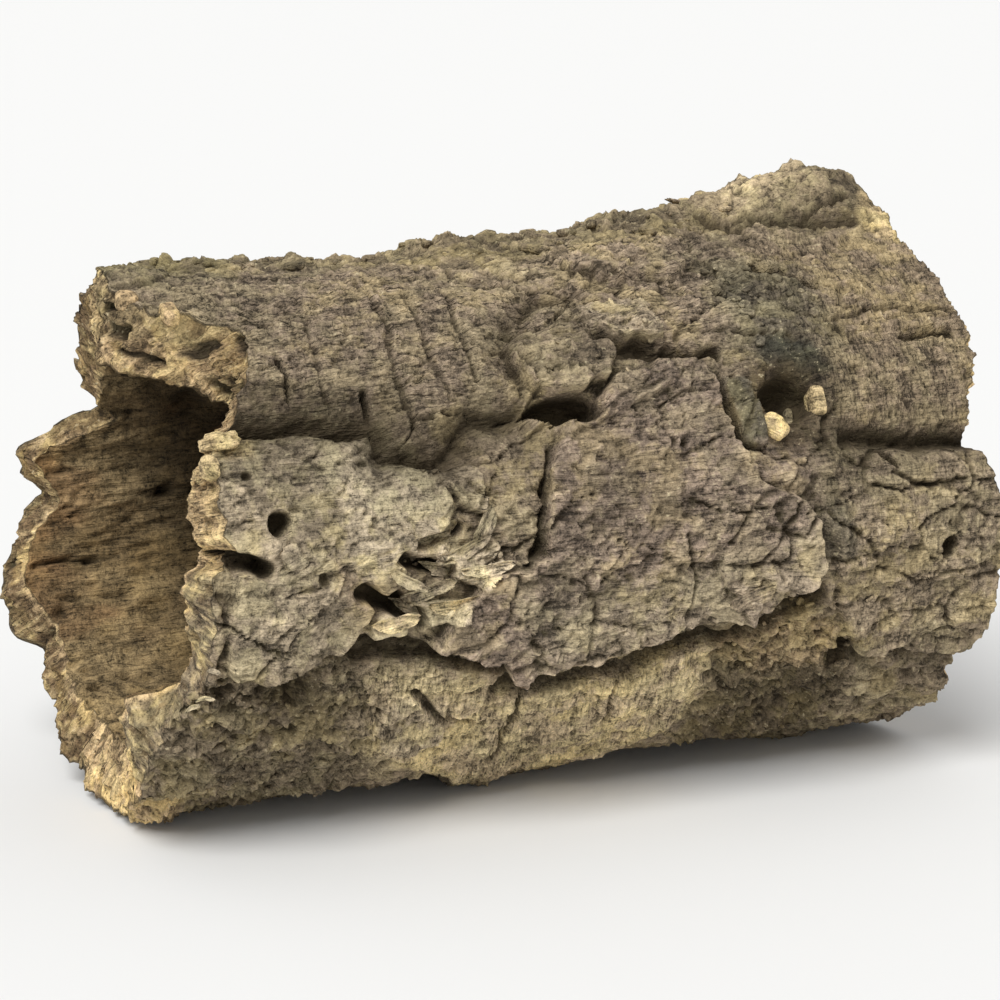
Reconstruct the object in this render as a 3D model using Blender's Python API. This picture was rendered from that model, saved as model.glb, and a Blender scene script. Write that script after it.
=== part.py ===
"""A hollow tube of virgin cork bark, lying on its side, with the stub of a side branch.

The tube lies along X with its ragged mouth at -X. A place on it is given as x in millimetres
along the tube and an angle round it: 0 degrees faces -Y, 90 the top, 180 faces +Y, -90 the
underside. Relief is given in millimetres, outwards from the smooth tube.
"""

from dataclasses import dataclass

import bpy
import numpy as np

# Driving dimensions, in millimetres
OUTER_HALF_WIDTH = 74.0
OUTER_HALF_HEIGHT = 76.0
BORE_HALF_WIDTH = 58.0
BORE_HALF_HEIGHT = 57.0
AXIS_HEIGHT = 77.5
ROUND_RADIUS = 75.0  # mean radius, which turns degrees into millimetres round the tube
MOUTH_CHIPPING = 1.2
UNDERCUT = 0.7  # how far a ledge hangs over, for each unit of its steepness and height
MOST_UNDERCUT = 3.5

# How finely the bark is laid out before it is thinned to facets
COLUMNS = 300
SKIN_ROWS = 190
RIM_ROWS = 10
BORE_ROWS = 60
FACETS = 9600

METRES = 0.001
ARC = np.pi / 180.0 * ROUND_RADIUS  # millimetres round the tube for each degree

# Edge of the crust at the mouth, as (degrees, x)
MOUTH_CRUST = (
    (-180, -119), (-176, -124), (-170, -127), (-163, -131), (-156, -134), (-147, -131),
    (-142, -124), (-133, -126), (-128, -123), (-120, -127), (-112, -127), (-107, -123),
    (-98, -125), (-85, -121), (-72, -122), (-57, -124), (-41, -124), (-32, -123),
    (-28, -119), (-22, -115), (-18, -113), (-5, -112), (2, -111), (5, -106), (9, -104),
    (12, -108), (25, -109), (30, -104), (33, -100), (40, -97), (46, -93), (52, -90),
    (58, -92), (61, -104), (64, -114), (68, -119), (74, -121), (85, -118), (95, -115),
    (116, -112), (126, -114), (138, -112), (149, -110), (153, -101), (157, -104),
    (160, -112), (165, -117), (170, -127), (175, -126),
)

# Inner lip of the mouth, as (degrees, x)
MOUTH_LIP = (
    (-180, -117), (-170, -125), (-157, -130), (-142, -122), (-120, -122), (-100, -118),
    (-75, -116), (-55, -121), (-40, -128), (-34, -126), (-31, -113), (-17, -112),
    (-10, -114), (2, -115), (5, -110), (9, -108), (13, -111), (22, -111), (29, -105),
    (35, -102), (39, -96), (48, -95), (54, -104), (57, -110), (63, -120), (68, -125),
    (90, -120), (110, -112), (127, -105), (140, -106), (150, -107), (155, -101),
    (161, -113), (168, -125),
)

# Edge of the far end, as (degrees, x)
FAR_END = (
    (-180, 122), (-140, 124), (-100, 120), (-60, 125), (-50, 122), (-40, 120), (-25, 123),
    (-10, 125), (10, 123), (20, 116), (30, 120), (38, 125), (60, 125), (75, 122),
    (84, 123.5), (96, 124), (112, 120), (150, 123),
)

# Height of the crest along the top, as (x, rise)
CREST = (
    (-118, 0.0), (-98, 2.5), (-87, 1.5), (-75, 0.5), (-51, 1.5), (-39, -2.5), (-27, -0.5),
    (-14, 2.0), (0, 3.5), (23, 3.5), (36, 5.5), (48, 10.0), (77, 12.0), (86, 17.0),
    (104, 19.5), (114, 18.5), (120, 16.0), (126, 11.0),
)
CREST_DEGREES = 99.0
CREST_SPREAD = 17.0

# Seeds of the random fields
LUMP_SEED, KNOB_SEED, WARP_SEED, BACK_SEED, RIM_SEED, BORE_SEED = 3, 11, 17, 23, 31, 41


@dataclass(frozen=True)
class Plate:
    """A layer of bark that stands proud like a shingle, most at its lower edge."""

    outline: tuple[tuple[float, float], ...]
    upper_rise: float
    lower_rise: float
    edge: float = 1.6


@dataclass(frozen=True)
class Furrow:
    """A crack or groove along a line of places."""

    route: tuple[tuple[float, float], ...]
    depth: float
    half_width: float
    rolled: bool = False


@dataclass(frozen=True)
class Lump:
    """A rounded knob, or with a negative rise a pit, given by its half sizes along and round."""

    place: tuple[float, float]
    half_sizes: tuple[float, float]
    rise: float
    turn: float = 0.0
    steepness: float = 1.0


PLATES = {
    "main slab": Plate(
        ((-14, 22), (-18, 14), (-20, 2), (-34, 0), (-44, -8), (-51, -14), (-36, -17),
         (-30, -17), (-27, -22), (-23, -24), (-20, -21), (-4, -20), (10, -18.5), (18, -15.5),
         (27, -14), (42, -14), (50, -11), (63, -5.5), (63, 4), (58, 9), (48, 12), (43, 19),
         (40, 28), (40, 34), (36, 40), (24, 41), (10, 38), (2, 33), (-8, 27)),
        1.0, 8.0),
    "wedge plate": Plate(
        ((-9, 28), (2, 33), (10, 38), (24, 42), (30, 40), (27, 37), (21, 34), (15, 31.5),
         (10, 29.5), (1, 28.5)),
        1.0, 3.5, 1.2),
    "overhanging flake": Plate(
        ((-19, 50), (-20, 43), (-17, 37), (-10, 35), (-2, 35), (5, 36), (9, 41), (9, 46),
         (6, 50), (-5, 52)),
        2.0, 7.5),
    "bright flake": Plate(
        ((7, 57), (18, 59), (27, 57), (27, 48), (20, 46), (13, 47), (6, 50)), 1.0, 4.5),
    "upper shelf": Plate(
        ((15, 68), (24, 66.5), (33, 67), (42, 65.5), (52, 71), (50, 84), (10, 84), (5, 75)),
        0.0, 3.5),
    "block by the crack": Plate(
        ((42, 35), (49, 36), (51, 26), (48, 19), (44, 20), (42, 28)), 2.0, 3.5, 1.0),
    "flaky right of the slab": Plate(
        ((34, 10), (31, 2), (33, -6), (42, -13), (52, -10), (61, -7), (65, 0), (61, 9),
         (50, 12), (42, 10)),
        1.0, 2.5),
    "lower lobe": Plate(
        ((66, 17), (80, 19), (100, 17), (124, 16), (126, -10), (122, -31), (115, -32),
         (102, -31), (94, -28), (88, -30), (81, -27), (74, -18), (72, -6), (66, 4)),
        1.0, 4.0, 2.5),
    "pale foot": Plate(
        ((84, -42), (104, -40), (124, -41), (124, -55), (108, -60), (88, -56)), 2.5, 0.5),
    "mid-left slab": Plate(
        ((-110, 29), (-100, 31), (-84, 31), (-64, 29.5), (-60, 24), (-46, 20), (-42, 13),
         (-46, 9), (-53, 8), (-59, 2), (-59, -1), (-66, -4), (-70, -9), (-74, -13),
         (-84, -15), (-96, -18), (-106, -16), (-108, -6), (-104, 4), (-110, 12)),
        2.5, 4.5, 2.2),
    "small flake": Plate(
        ((-47, 20), (-38, 20), (-34, 15), (-36, 12), (-40, 12), (-43, 15)), 3.0, 5.0, 1.0),
    "curled flakes": Plate(
        ((-49, 6), (-42, 4), (-33, 5), (-31, 1), (-37, -3), (-44, -1), (-48, 1)),
        1.5, 4.0, 1.0),
    "lower curled flakes": Plate(
        ((-57, -4), (-48, -5), (-40, -5), (-42, -9), (-52, -10), (-60, -8)), 1.0, 4.0, 1.2),
    "pale scale": Plate(
        ((-69, -9), (-63, -8), (-57, -9), (-60, -13), (-67, -14)), 2.0, 4.5, 1.2),
    "lower band": Plate(
        ((-72, -20), (-51, -22), (-30, -27), (-12, -26), (12, -24), (34, -20), (38, -30),
         (34, -50), (14, -66), (-14, -74), (-30, -66), (-50, -52), (-66, -40)),
        0.5, 2.5, 4.0),
    "pale plate": Plate(
        ((-62, -30), (-52, -27), (-43, -32), (-40, -42), (-50, -45), (-60, -41)),
        1.0, 2.5, 1.5),
    "hanging plate": Plate(
        ((-30, -56), (-14, -56), (-13, -74), (-18, -78), (-29, -74)), 1.0, 3.5),
    "rim rib": Plate(
        ((-120, 2), (-111, 2), (-109, -8), (-110, -18), (-118, -20)), 2.0, 2.5, 1.0),
    "back shingle": Plate(
        ((-90, 170), (-50, 176), (-8, 172), (-4, 200), (-30, 214), (-80, 206), (-96, 190)),
        5.5, 1.0, 2.5),
    "far back shingle": Plate(
        ((10, 150), (56, 143), (104, 150), (110, 178), (70, 194), (30, 188), (6, 170)),
        6.5, 1.5, 2.5),
    "low back shingle": Plate(
        ((-60, 222), (0, 216), (60, 214), (84, 232), (50, 246), (-20, 250), (-58, 240)),
        4.0, 1.0, 2.5),
}

FURROWS = {
    "under the roll": Furrow(
        ((-104, 33), (-84, 33), (-72, 32), (-63, 31), (-60, 25), (-52, 23), (-45, 21.5),
         (-42, 24), (-32, 31), (-22, 31)),
        9.0, 5.5, True),
    "end of the roll": Furrow(
        ((-20, 33), (-20, 46), (-14, 55), (-4, 62), (6, 62)), 4.0, 3.5, True),
    "under the right lobe": Furrow(((78, 20), (84, 19.5), (100, 19), (126, 18)), 9.0, 4.0, True),
    "slab crack": Furrow(((40.5, 36), (40, 28), (42.5, 20)), 9.0, 1.4),
    "left of the slab": Furrow(((-14, 23), (-18, 15), (-19, 5), (-26, 0), (-35, 1)), 6.0, 1.6),
    "under the bright flake": Furrow(((7, 47), (15, 44.5), (28, 44)), 4.0, 2.6),
    "upper slot": Furrow(((29, 45), (35, 43.2), (42, 42.5)), 7.0, 2.2),
    "right slot": Furrow(((69, 69), (75, 66.5), (82, 61)), 8.0, 2.4),
    "mouth slot": Furrow(((-124, 9), (-108, 7), (-98, 4.5)), 12.0, 2.8),
    "curl hollow": Furrow(((-54, 7), (-48, 7), (-43, 8.5)), 6.0, 1.8),
    "second curl hollow": Furrow(((-59, 4), (-53, 2), (-47, 1)), 8.0, 2.4),
    "third curl hollow": Furrow(((-70, -3), (-63, -5), (-55, -8)), 9.0, 3.2),
    "hollow under the scales": Furrow(((-74, -15), (-59, -14.5), (-40, -19)), 5.0, 3.0),
    "roll crack": Furrow(((-84, 47), (-85, 34)), 5.0, 1.3),
    "second roll crack": Furrow(((-62, 39), (-62, 31)), 7.0, 1.5),
    "band crack": Furrow(((-21, -24), (-21, -56)), 3.5, 1.3),
    "second band crack": Furrow(((9, -24), (10, -42)), 3.0, 1.2),
    "band step": Furrow(((-53, -27), (-42, -36), (-30, -39)), 3.5, 1.8),
    "lobe crack": Furrow(((83, 19), (90, 13)), 5.0, 1.2),
    "right crack": Furrow(((104, 44), (119, 44)), 3.0, 1.2),
    "under the lower lobe": Furrow(
        ((80, -29), (88, -32), (94, -30), (102, -33), (118, -34)), 5.0, 3.6),
    "stub crease": Furrow(((66, 87), (84, 85), (100, 83), (112, 84)), 4.0, 2.6, True),
    "back furrow": Furrow(
        ((-118, 156), (-70, 164), (-20, 158), (30, 139), (80, 134), (122, 140)),
        8.0, 6.0, True),
    "low back furrow": Furrow(
        ((-120, 214), (-70, 212), (-10, 208), (40, 201), (90, 205), (122, 212)),
        8.0, 6.0, True),
}

LUMPS = {
    "hollow under the flake": Lump((-9, 31), (10.5, 4.5), -15.0, 0.0, 2.0),
    "knot hole": Lump((61.5, 31), (7.5, 7.0), -9.5, 0.0, 1.4),
    "knot hollow": Lump((60, 26), (12.0, 13.0), -4.0),
    "purple lump": Lump((56, 14.5), (7.5, 6.5), 3.5),
    "green lump": Lump((69.5, 1), (6.5, 7.5), 3.0),
    "leaning lump": Lump((67, -12.5), (4.5, 8.5), 4.5, -35.0),
    "dark hollow": Lump((78, -28), (5.0, 10.0), -6.5),
    "worm hole": Lump((-93, 12), (2.6, 3.2), -8.0, 0.0, 2.0),
    "brown swelling": Lump((-62, 7), (9.0, 8.0), 2.5),
    "curved hole": Lump((107.5, -5), (3.0, 3.4), -6.0, 0.0, 2.0),
    "low dark patch": Lump((-89, -22), (10.0, 7.0), -4.0),
    "low pit": Lump((-90, -33), (7.0, 3.0), -4.0),
    "right pit": Lump((40, -22), (6.0, 4.0), -4.0),
    "mouth bottom": Lump((-114, -71), (12.0, 12.0), 3.0),
    "foot at the mouth": Lump((-92, -92), (26.0, 22.0), 5.0),
    "middle foot": Lump((-4, -88), (30.0, 22.0), 5.0),
    "far foot": Lump((86, -91), (26.0, 22.0), 5.0),
}

GRAVEL = ((-124, -16), (-70, -15), (-62, -30), (-60, -60), (-90, -75), (-124, -75))
ROUGH = ((36, -20), (62, -12), (84, -22), (84, -60), (40, -62))
SMOOTH_ROLL = ((-100, 34), (-26, 34), (-22, 60), (-30, 80), (-104, 82))


def hashed(cell: np.ndarray, seed: int) -> np.ndarray:
    """Random numbers from 0 to 1, one for each whole-number cell."""
    key = cell[..., 0] * 73856093 ^ cell[..., 1] * 19349663 ^ cell[..., 2] * 83492791
    key = (key ^ seed * 40503) & 0xFFFFFFFF
    key = (key ^ (key >> 15)) * 0x2C1B3C6D & 0xFFFFFFFF
    key = (key ^ (key >> 12)) * 0x297A2D39 & 0xFFFFFFFF
    return ((key ^ (key >> 15)) & 0xFFFF) / 0xFFFF


def field(points: np.ndarray, seed: int) -> np.ndarray:
    """A smooth random field from -1 to 1, with one bump to a cell."""
    cell = np.floor(points).astype(np.int64)
    part = points - cell
    fade = part * part * (3.0 - 2.0 * part)
    total = np.zeros(points.shape[:-1])
    for corner in np.ndindex(2, 2, 2):
        weight = np.prod(np.where(corner, fade, 1.0 - fade), axis=-1)
        total += weight * hashed(cell + np.array(corner), seed)
    return 2.0 * total - 1.0


def rough_field(points: np.ndarray, seed: int, layers: int = 3) -> np.ndarray:
    """Several fields on top of each other, each twice as fine and half as high."""
    total = np.zeros(points.shape[:-1])
    for layer in range(layers):
        total += 0.5 ** layer * field(points * 2.03 ** layer, seed + layer)
    return total


def smooth_step(low: float, high: float, value: np.ndarray) -> np.ndarray:
    """0 below low and 1 above high, with a soft turn at both."""
    part = np.clip((value - low) / (high - low), 0.0, 1.0)
    return part * part * (3.0 - 2.0 * part)


def round_the_tube(x: np.ndarray, degrees: np.ndarray) -> np.ndarray:
    """Places on a plain round tube, in millimetres, where the random fields are read."""
    angle = np.radians(degrees)
    return np.stack(
        [x, -ROUND_RADIUS * np.cos(angle), ROUND_RADIUS * np.sin(angle)], axis=-1
    )


def line_distance(x: np.ndarray, arc: np.ndarray, route: np.ndarray) -> np.ndarray:
    """Distance in millimetres to a line of places."""
    nearest = np.full(x.shape, np.inf)
    for (ax, aa), (bx, ba) in zip(route[:-1], route[1:]):
        along_x, along_a = bx - ax, ba - aa
        part = ((x - ax) * along_x + (arc - aa) * along_a) / (along_x**2 + along_a**2)
        part = np.clip(part, 0.0, 1.0)
        gap = np.hypot(x - ax - part * along_x, arc - aa - part * along_a)
        nearest = np.minimum(nearest, gap)
    return nearest


def depth_inside(x: np.ndarray, arc: np.ndarray, outline: np.ndarray) -> np.ndarray:
    """Distance in millimetres to an outline, negative outside it."""
    closed = np.vstack([outline, outline[:1]])
    inside = np.zeros(x.shape, bool)
    for (ax, aa), (bx, ba) in zip(closed[:-1], closed[1:]):
        if aa == ba:
            continue
        crosses = (aa > arc) != (ba > arc)
        inside ^= crosses & (x < ax + (arc - aa) / (ba - aa) * (bx - ax))
    gap = line_distance(x, arc, closed)
    return np.where(inside, gap, -gap)


def places(points: tuple[tuple[float, float], ...]) -> np.ndarray:
    """(x, degrees) places as (x, millimetres round the tube)."""
    return np.array(points, float) * (1.0, ARC)


def near(x: np.ndarray, arc: np.ndarray, points: np.ndarray, margin: float) -> np.ndarray:
    """Which places lie within a margin of the box round some points."""
    low, high = points.min(axis=0) - margin, points.max(axis=0) + margin
    return (x > low[0]) & (x < high[0]) & (arc > low[1]) & (arc < high[1])


def unwrapped(degrees: np.ndarray) -> np.ndarray:
    """Angles from -90 up to 270, so that no plate or furrow crosses the break."""
    return (degrees + 100.0) % 360.0 - 100.0


def plates_rise(x: np.ndarray, arc: np.ndarray, ragged: np.ndarray) -> np.ndarray:
    """What all plates add."""
    total = np.zeros(x.shape)
    for plate in PLATES.values():
        corners = places(plate.outline)
        here = near(x, arc, corners, 6.0)
        low, high = corners[:, 1].min(), corners[:, 1].max()
        up = (arc[here] - low) / (high - low)
        rise = plate.lower_rise + (plate.upper_rise - plate.lower_rise) * np.clip(up, 0, 1)
        inside = depth_inside(x[here], arc[here], corners) + ragged[here]
        total[here] += rise * smooth_step(-plate.edge / 2, plate.edge / 2, inside)
    return total


def furrows_depth(x: np.ndarray, arc: np.ndarray, ragged: np.ndarray) -> np.ndarray:
    """What all furrows take away."""
    total = np.zeros(x.shape)
    for furrow in FURROWS.values():
        route = places(furrow.route)
        here = near(x, arc, route, 6.0 * furrow.half_width)
        gap = line_distance(x[here], arc[here], route)
        if furrow.rolled:
            cut = np.exp(-gap / furrow.half_width)
        else:
            gap = np.maximum(gap + 0.4 * ragged[here], 0.0)
            cut = 1.0 - smooth_step(0.3 * furrow.half_width, 1.5 * furrow.half_width, gap)
        total[here] = np.maximum(total[here], furrow.depth * cut)
    return total


def lumps_rise(x: np.ndarray, arc: np.ndarray) -> np.ndarray:
    """What all knobs add and all pits take away."""
    total = np.zeros(x.shape)
    for lump in LUMPS.values():
        turn = np.radians(lump.turn)
        half_round = 180.0 * ARC
        along = x - lump.place[0]
        across = (arc - lump.place[1] * ARC + half_round) % (2.0 * half_round) - half_round
        first = (along * np.cos(turn) + across * np.sin(turn)) / lump.half_sizes[0]
        second = (across * np.cos(turn) - along * np.sin(turn)) / lump.half_sizes[1]
        reach = np.hypot(first, second)
        total += lump.rise * (1.0 - smooth_step(0.0, 1.25, reach**lump.steepness))
    return total


def weight_in(x: np.ndarray, arc: np.ndarray, outline: tuple, blend: float) -> np.ndarray:
    """1 well inside an outline and 0 well outside it."""
    return smooth_step(-blend, blend, depth_inside(x, arc, places(outline)))


def skin_rise(x: np.ndarray, degrees: np.ndarray) -> np.ndarray:
    """Relief of the outside, in millimetres."""
    degrees = unwrapped(degrees)
    spot = round_the_tube(x, degrees)
    warp_x = 1.6 * field(spot / 9.0, WARP_SEED)
    warp_arc = 1.6 * field(spot / 9.0, WARP_SEED + 5)
    ragged = 0.7 * field(spot / 4.0, WARP_SEED + 9)
    wx, arc = x + warp_x, degrees * ARC + warp_arc

    gravel = weight_in(wx, arc, GRAVEL, 5.0) + weight_in(wx, arc, ROUGH, 4.0)
    smooth = weight_in(wx, arc, SMOOTH_ROLL, 8.0)
    hidden = smooth_step(112.0, 135.0, degrees)
    lumps = rough_field(spot * (0.032, 0.055, 0.055), LUMP_SEED)
    knobs = rough_field(spot / (13.0, 9.0, 9.0), KNOB_SEED)
    rise = (1.3 + 0.8 * hidden) * lumps + (0.8 - 0.4 * smooth + 0.9 * gravel) * knobs

    crest = np.interp(x, *np.array(CREST).T)
    across = np.abs(degrees - CREST_DEGREES) / CREST_SPREAD
    flank = np.where(degrees < CREST_DEGREES, 1.0, 0.65)
    rise += crest * np.exp(-((flank * across) ** 2.4))
    top_knobs = np.exp(-(((degrees - 96.0) / 13.0) ** 2))
    rise += 2.6 * top_knobs * smooth_step(0.15, 0.6, field(spot / 7.0, KNOB_SEED + 7))

    seams = 1.0 - smooth_step(0.0, 0.16, np.abs(rough_field(spot / (46, 17, 17), BACK_SEED)))
    rise -= 4.0 * hidden * seams
    rise += plates_rise(wx, arc, ragged)
    rise -= furrows_depth(wx, arc, ragged)
    return rise + lumps_rise(wx, arc)


def bore_rise(x: np.ndarray, degrees: np.ndarray) -> np.ndarray:
    """Relief of the bore, in millimetres outwards from its smooth wall."""
    spot = round_the_tube(x, degrees)
    waves = rough_field(spot / (60.0, 16.0, 16.0), BORE_SEED)
    return 1.6 * waves + 1.0 * field(spot / 11.0, BORE_SEED + 6)


def wall_points(
    x: np.ndarray, degrees: np.ndarray, rise: np.ndarray, half_width: float, half_height: float
) -> np.ndarray:
    """Points of a wall of the tube, in millimetres."""
    angle = np.radians(degrees)
    return np.stack(
        [
            x,
            -(half_width + rise) * np.cos(angle),
            AXIS_HEIGHT + (half_height + rise) * np.sin(angle),
        ],
        axis=-1,
    )


def blurred(grid: np.ndarray, passes: int) -> np.ndarray:
    """A grid smoothed over its neighbours, closed round the tube and ending at the rims."""
    for _ in range(passes):
        grid = (np.roll(grid, 1, 0) + 2.0 * grid + np.roll(grid, -1, 0)) / 4.0
        wide = np.pad(grid, ((0, 0), (1, 1)), mode="edge")
        grid = (wide[:, :-2] + 2.0 * grid + wide[:, 2:]) / 4.0
    return grid


def hung_over(x: np.ndarray, degrees: np.ndarray, rise: np.ndarray) -> tuple:
    """Places moved so that each steep ledge hangs over what is below it."""
    soft = blurred(rise, 6)
    step_arc = np.gradient(degrees, axis=0) * ARC
    step_x = np.gradient(x, axis=1)
    slope_arc = (np.roll(soft, -1, 0) - np.roll(soft, 1, 0)) / (2.0 * step_arc)
    slope_x = np.gradient(soft, axis=1) / step_x
    proud = UNDERCUT * (rise - soft)
    reach_arc = np.clip(-proud * slope_arc, -MOST_UNDERCUT, MOST_UNDERCUT)
    reach_x = np.clip(-proud * slope_x, -MOST_UNDERCUT, MOST_UNDERCUT)
    return x + 0.5 * reach_x, degrees + reach_arc / ARC


def edge_of(points: tuple, degrees: np.ndarray, seed: int) -> np.ndarray:
    """A rim's x at each angle, with chipping."""
    angles, xs = np.array(points, float).T
    spot = round_the_tube(np.zeros(degrees.shape), degrees)
    return np.interp(degrees, angles, xs, period=360.0) + MOUTH_CHIPPING * field(
        spot / 4.5, seed
    )


def rim_rows(start: np.ndarray, end: np.ndarray, outwards: float, seed: int) -> list:
    """Rows of a broken end face between two edges, bulging out and splintered."""
    rows = []
    for row in range(1, RIM_ROWS + 1):
        part = row / (RIM_ROWS + 1.0)
        middle = start + part * (end - start)
        splinters = field(middle / (9.0, 4.0, 4.0), seed)
        bulge = np.sin(np.pi * part) * (1.0 + 1.6 * splinters)
        middle[:, 0] += outwards * bulge
        rows.append(middle)
    return rows


def tube_rows() -> np.ndarray:
    """All rows of points round the wall: along the skin, round the far end and back inside."""
    degrees = np.linspace(-180.0, 180.0, COLUMNS, endpoint=False)[:, None]
    mouth = edge_of(MOUTH_CRUST, degrees[:, 0], RIM_SEED)[:, None]
    far = edge_of(FAR_END, degrees[:, 0], RIM_SEED + 3)[:, None]
    part = np.linspace(0.0, 1.0, SKIN_ROWS)[None, :]
    x = mouth + part * (far - mouth)
    wide = np.broadcast_to(degrees, x.shape)
    rise = skin_rise(x, wide)
    skin_x, skin_degrees = hung_over(x, wide, rise)
    skin = wall_points(skin_x, skin_degrees, rise, OUTER_HALF_WIDTH, OUTER_HALF_HEIGHT)
    skin[..., 2] = np.maximum(skin[..., 2], 0.0)

    lip = edge_of(MOUTH_LIP, degrees[:, 0], RIM_SEED + 7)[:, None]
    far_lip = far - 0.8
    part = np.linspace(1.0, 0.0, BORE_ROWS)[None, :] ** 1.3
    x = lip + part * (far_lip - lip)
    rise = bore_rise(x, np.broadcast_to(degrees, x.shape))
    bore = wall_points(x, degrees, rise, BORE_HALF_WIDTH, BORE_HALF_HEIGHT)

    far_rim = rim_rows(skin[:, -1], bore[:, 0], 1.0, RIM_SEED + 11)
    mouth_rim = rim_rows(bore[:, -1], skin[:, 0], -1.0, RIM_SEED + 13)
    rows = [skin[:, i] for i in range(SKIN_ROWS)] + far_rim
    rows += [bore[:, i] for i in range(BORE_ROWS)] + mouth_rim
    return np.stack(rows, axis=1)


def closed_mesh(name: str, points: np.ndarray) -> bpy.types.Mesh:
    """A mesh whose rows and columns both join up, in metres."""
    columns, rows = points.shape[:2]
    index = np.arange(columns * rows).reshape(columns, rows)
    aside, along = np.roll(index, -1, 0), np.roll(index, -1, 1)
    across = np.roll(aside, -1, 1)
    quads = np.stack([index, along, across, aside], axis=-1).reshape(-1, 4)
    mesh = bpy.data.meshes.new(name)
    mesh.from_pydata(points.reshape(-1, 3) * METRES, [], quads.tolist())
    mesh.validate()
    return mesh


def thinned(mesh: bpy.types.Mesh, facets: int) -> bpy.types.Mesh:
    """The mesh with its flatter stretches made of fewer, larger facets."""
    helper = bpy.data.objects.new("thinning", mesh)
    bpy.context.scene.collection.objects.link(helper)
    modifier = helper.modifiers.new("thin", "DECIMATE")
    modifier.ratio = facets / (2.0 * len(mesh.polygons))
    modifier.use_collapse_triangulate = True
    graph = bpy.context.evaluated_depsgraph_get()
    result = bpy.data.meshes.new_from_object(helper.evaluated_get(graph))
    bpy.data.objects.remove(helper)
    return result


def rested(mesh: bpy.types.Mesh) -> None:
    """Levels the low points to true flats, and puts the origin under the middle of the tube."""
    corners = np.array([vertex.co[:] for vertex in mesh.vertices])
    middle = (corners.min(axis=0) + corners.max(axis=0)) / 2.0
    for vertex in mesh.vertices:
        vertex.co.x -= middle[0]
        vertex.co.y -= middle[1]
        if vertex.co.z < 0.25 * METRES:
            vertex.co.z = 0.0


def cork_material() -> bpy.types.Material:
    """Dull grey-brown bark."""
    material = bpy.data.materials.new("cork bark")
    material.use_nodes = True
    shader = material.node_tree.nodes["Principled BSDF"]
    shader.inputs["Base Color"].default_value = (0.21, 0.165, 0.11, 1.0)
    shader.inputs["Roughness"].default_value = 0.92
    shader.inputs["Metallic"].default_value = 0.0
    return material


def main() -> None:
    """Builds the cork tube."""
    for old in list(bpy.data.objects):
        bpy.data.objects.remove(old)
    mesh = thinned(closed_mesh("cork bark", tube_rows()), FACETS)
    mesh.name = "cork_tube"
    rested(mesh)
    tube = bpy.data.objects.new("cork_tube", mesh)
    tube.data.materials.append(cork_material())
    bpy.context.scene.collection.objects.link(tube)


main()
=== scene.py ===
"""A hollow tube of virgin cork bark on a pale floor, in fine relief over its plain solid.

A place on the bark is given as x in millimetres along the tube and an angle round it:
0 degrees faces -Y, 90 the top, 180 faces +Y and -90 the underside. Relief is given in
millimetres, outwards from the smooth tube.
"""

import logging
import math
from dataclasses import dataclass, fields
from enum import Enum

import bmesh
import bpy
import numpy as np
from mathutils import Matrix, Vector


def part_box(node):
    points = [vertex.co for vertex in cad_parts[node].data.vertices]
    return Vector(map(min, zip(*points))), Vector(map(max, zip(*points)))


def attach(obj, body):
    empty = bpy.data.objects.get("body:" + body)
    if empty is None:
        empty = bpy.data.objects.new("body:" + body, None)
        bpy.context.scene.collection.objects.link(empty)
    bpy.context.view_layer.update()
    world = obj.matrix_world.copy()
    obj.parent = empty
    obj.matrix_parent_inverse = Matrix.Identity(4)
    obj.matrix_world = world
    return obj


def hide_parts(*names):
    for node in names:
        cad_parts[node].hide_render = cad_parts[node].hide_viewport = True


LOG = logging.getLogger("cork tube")
NODE = "cork_tube"
BODY = "root"

METRES = 0.001
ROUND_RADIUS = 75.0  # mean radius, which turns degrees into millimetres round the tube
ARC = np.pi / 180.0 * ROUND_RADIUS
WHOLE_ROUND = 360.0 * ARC

# The random fields: primes that spread whole numbers, and how layers follow each other
CELL_PRIMES = (73856093, 19349663, 83492791)
SEED_PRIME = 40503
MIXERS = ((15, 0x2C1B3C6D), (12, 0x297A2D39))
WORD = 0xFFFFFFFF
HALF_WORD = 0xFFFF
FINER = 2.03
LAYER_EDGE = 0.82  # the part of a layer where it breaks off
LAYER_MEAN = 0.4

Place = tuple[float, float]
Outline = tuple[Place, ...]
Colour = tuple[float, float, float, float]

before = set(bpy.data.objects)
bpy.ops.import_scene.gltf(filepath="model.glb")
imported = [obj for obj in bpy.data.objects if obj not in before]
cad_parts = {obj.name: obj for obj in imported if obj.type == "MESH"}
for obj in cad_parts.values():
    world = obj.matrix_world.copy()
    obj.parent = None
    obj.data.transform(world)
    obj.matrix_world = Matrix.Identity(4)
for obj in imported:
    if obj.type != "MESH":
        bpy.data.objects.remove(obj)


class Tone(Enum):
    """Colours of the bark, as red, green and blue from 0 to 255."""

    BARK = (146, 132, 105)
    ROLL = (149, 134, 109)
    PLUM = (142, 127, 106)
    TAN = (168, 155, 125)
    # Pale tan of the lower band, made lighter still as painted light because the band faces down
    BAND = (210, 191, 148)
    GRAVEL = (130, 118, 92)
    OLIVE = (126, 114, 82)
    MOSS = (84, 82, 54)
    # Painted shade: the dark brown laid under ledges and in cracks, pits, crevices and the knot
    # hole
    PAINTED_SHADE = (66, 56, 40)
    LOBE = (148, 132, 104)
    CREAM = (208, 194, 158)
    STRAW = (214, 192, 140)
    CUT = (204, 178, 130)
    RUST = (136, 98, 66)
    SHADE = (76, 76, 62)
    BORE = (124, 104, 73)
    BORE_PALE = (164, 142, 104)
    # Painted shade inside the bore
    BORE_PAINTED_SHADE = (58, 47, 32)


def linear(tone: Tone) -> np.ndarray:
    """A tone as linear light."""
    part = np.array(tone.value) / 255.0
    return np.where(part <= 0.04045, part / 12.92, ((part + 0.055) / 1.055) ** 2.4)


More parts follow.
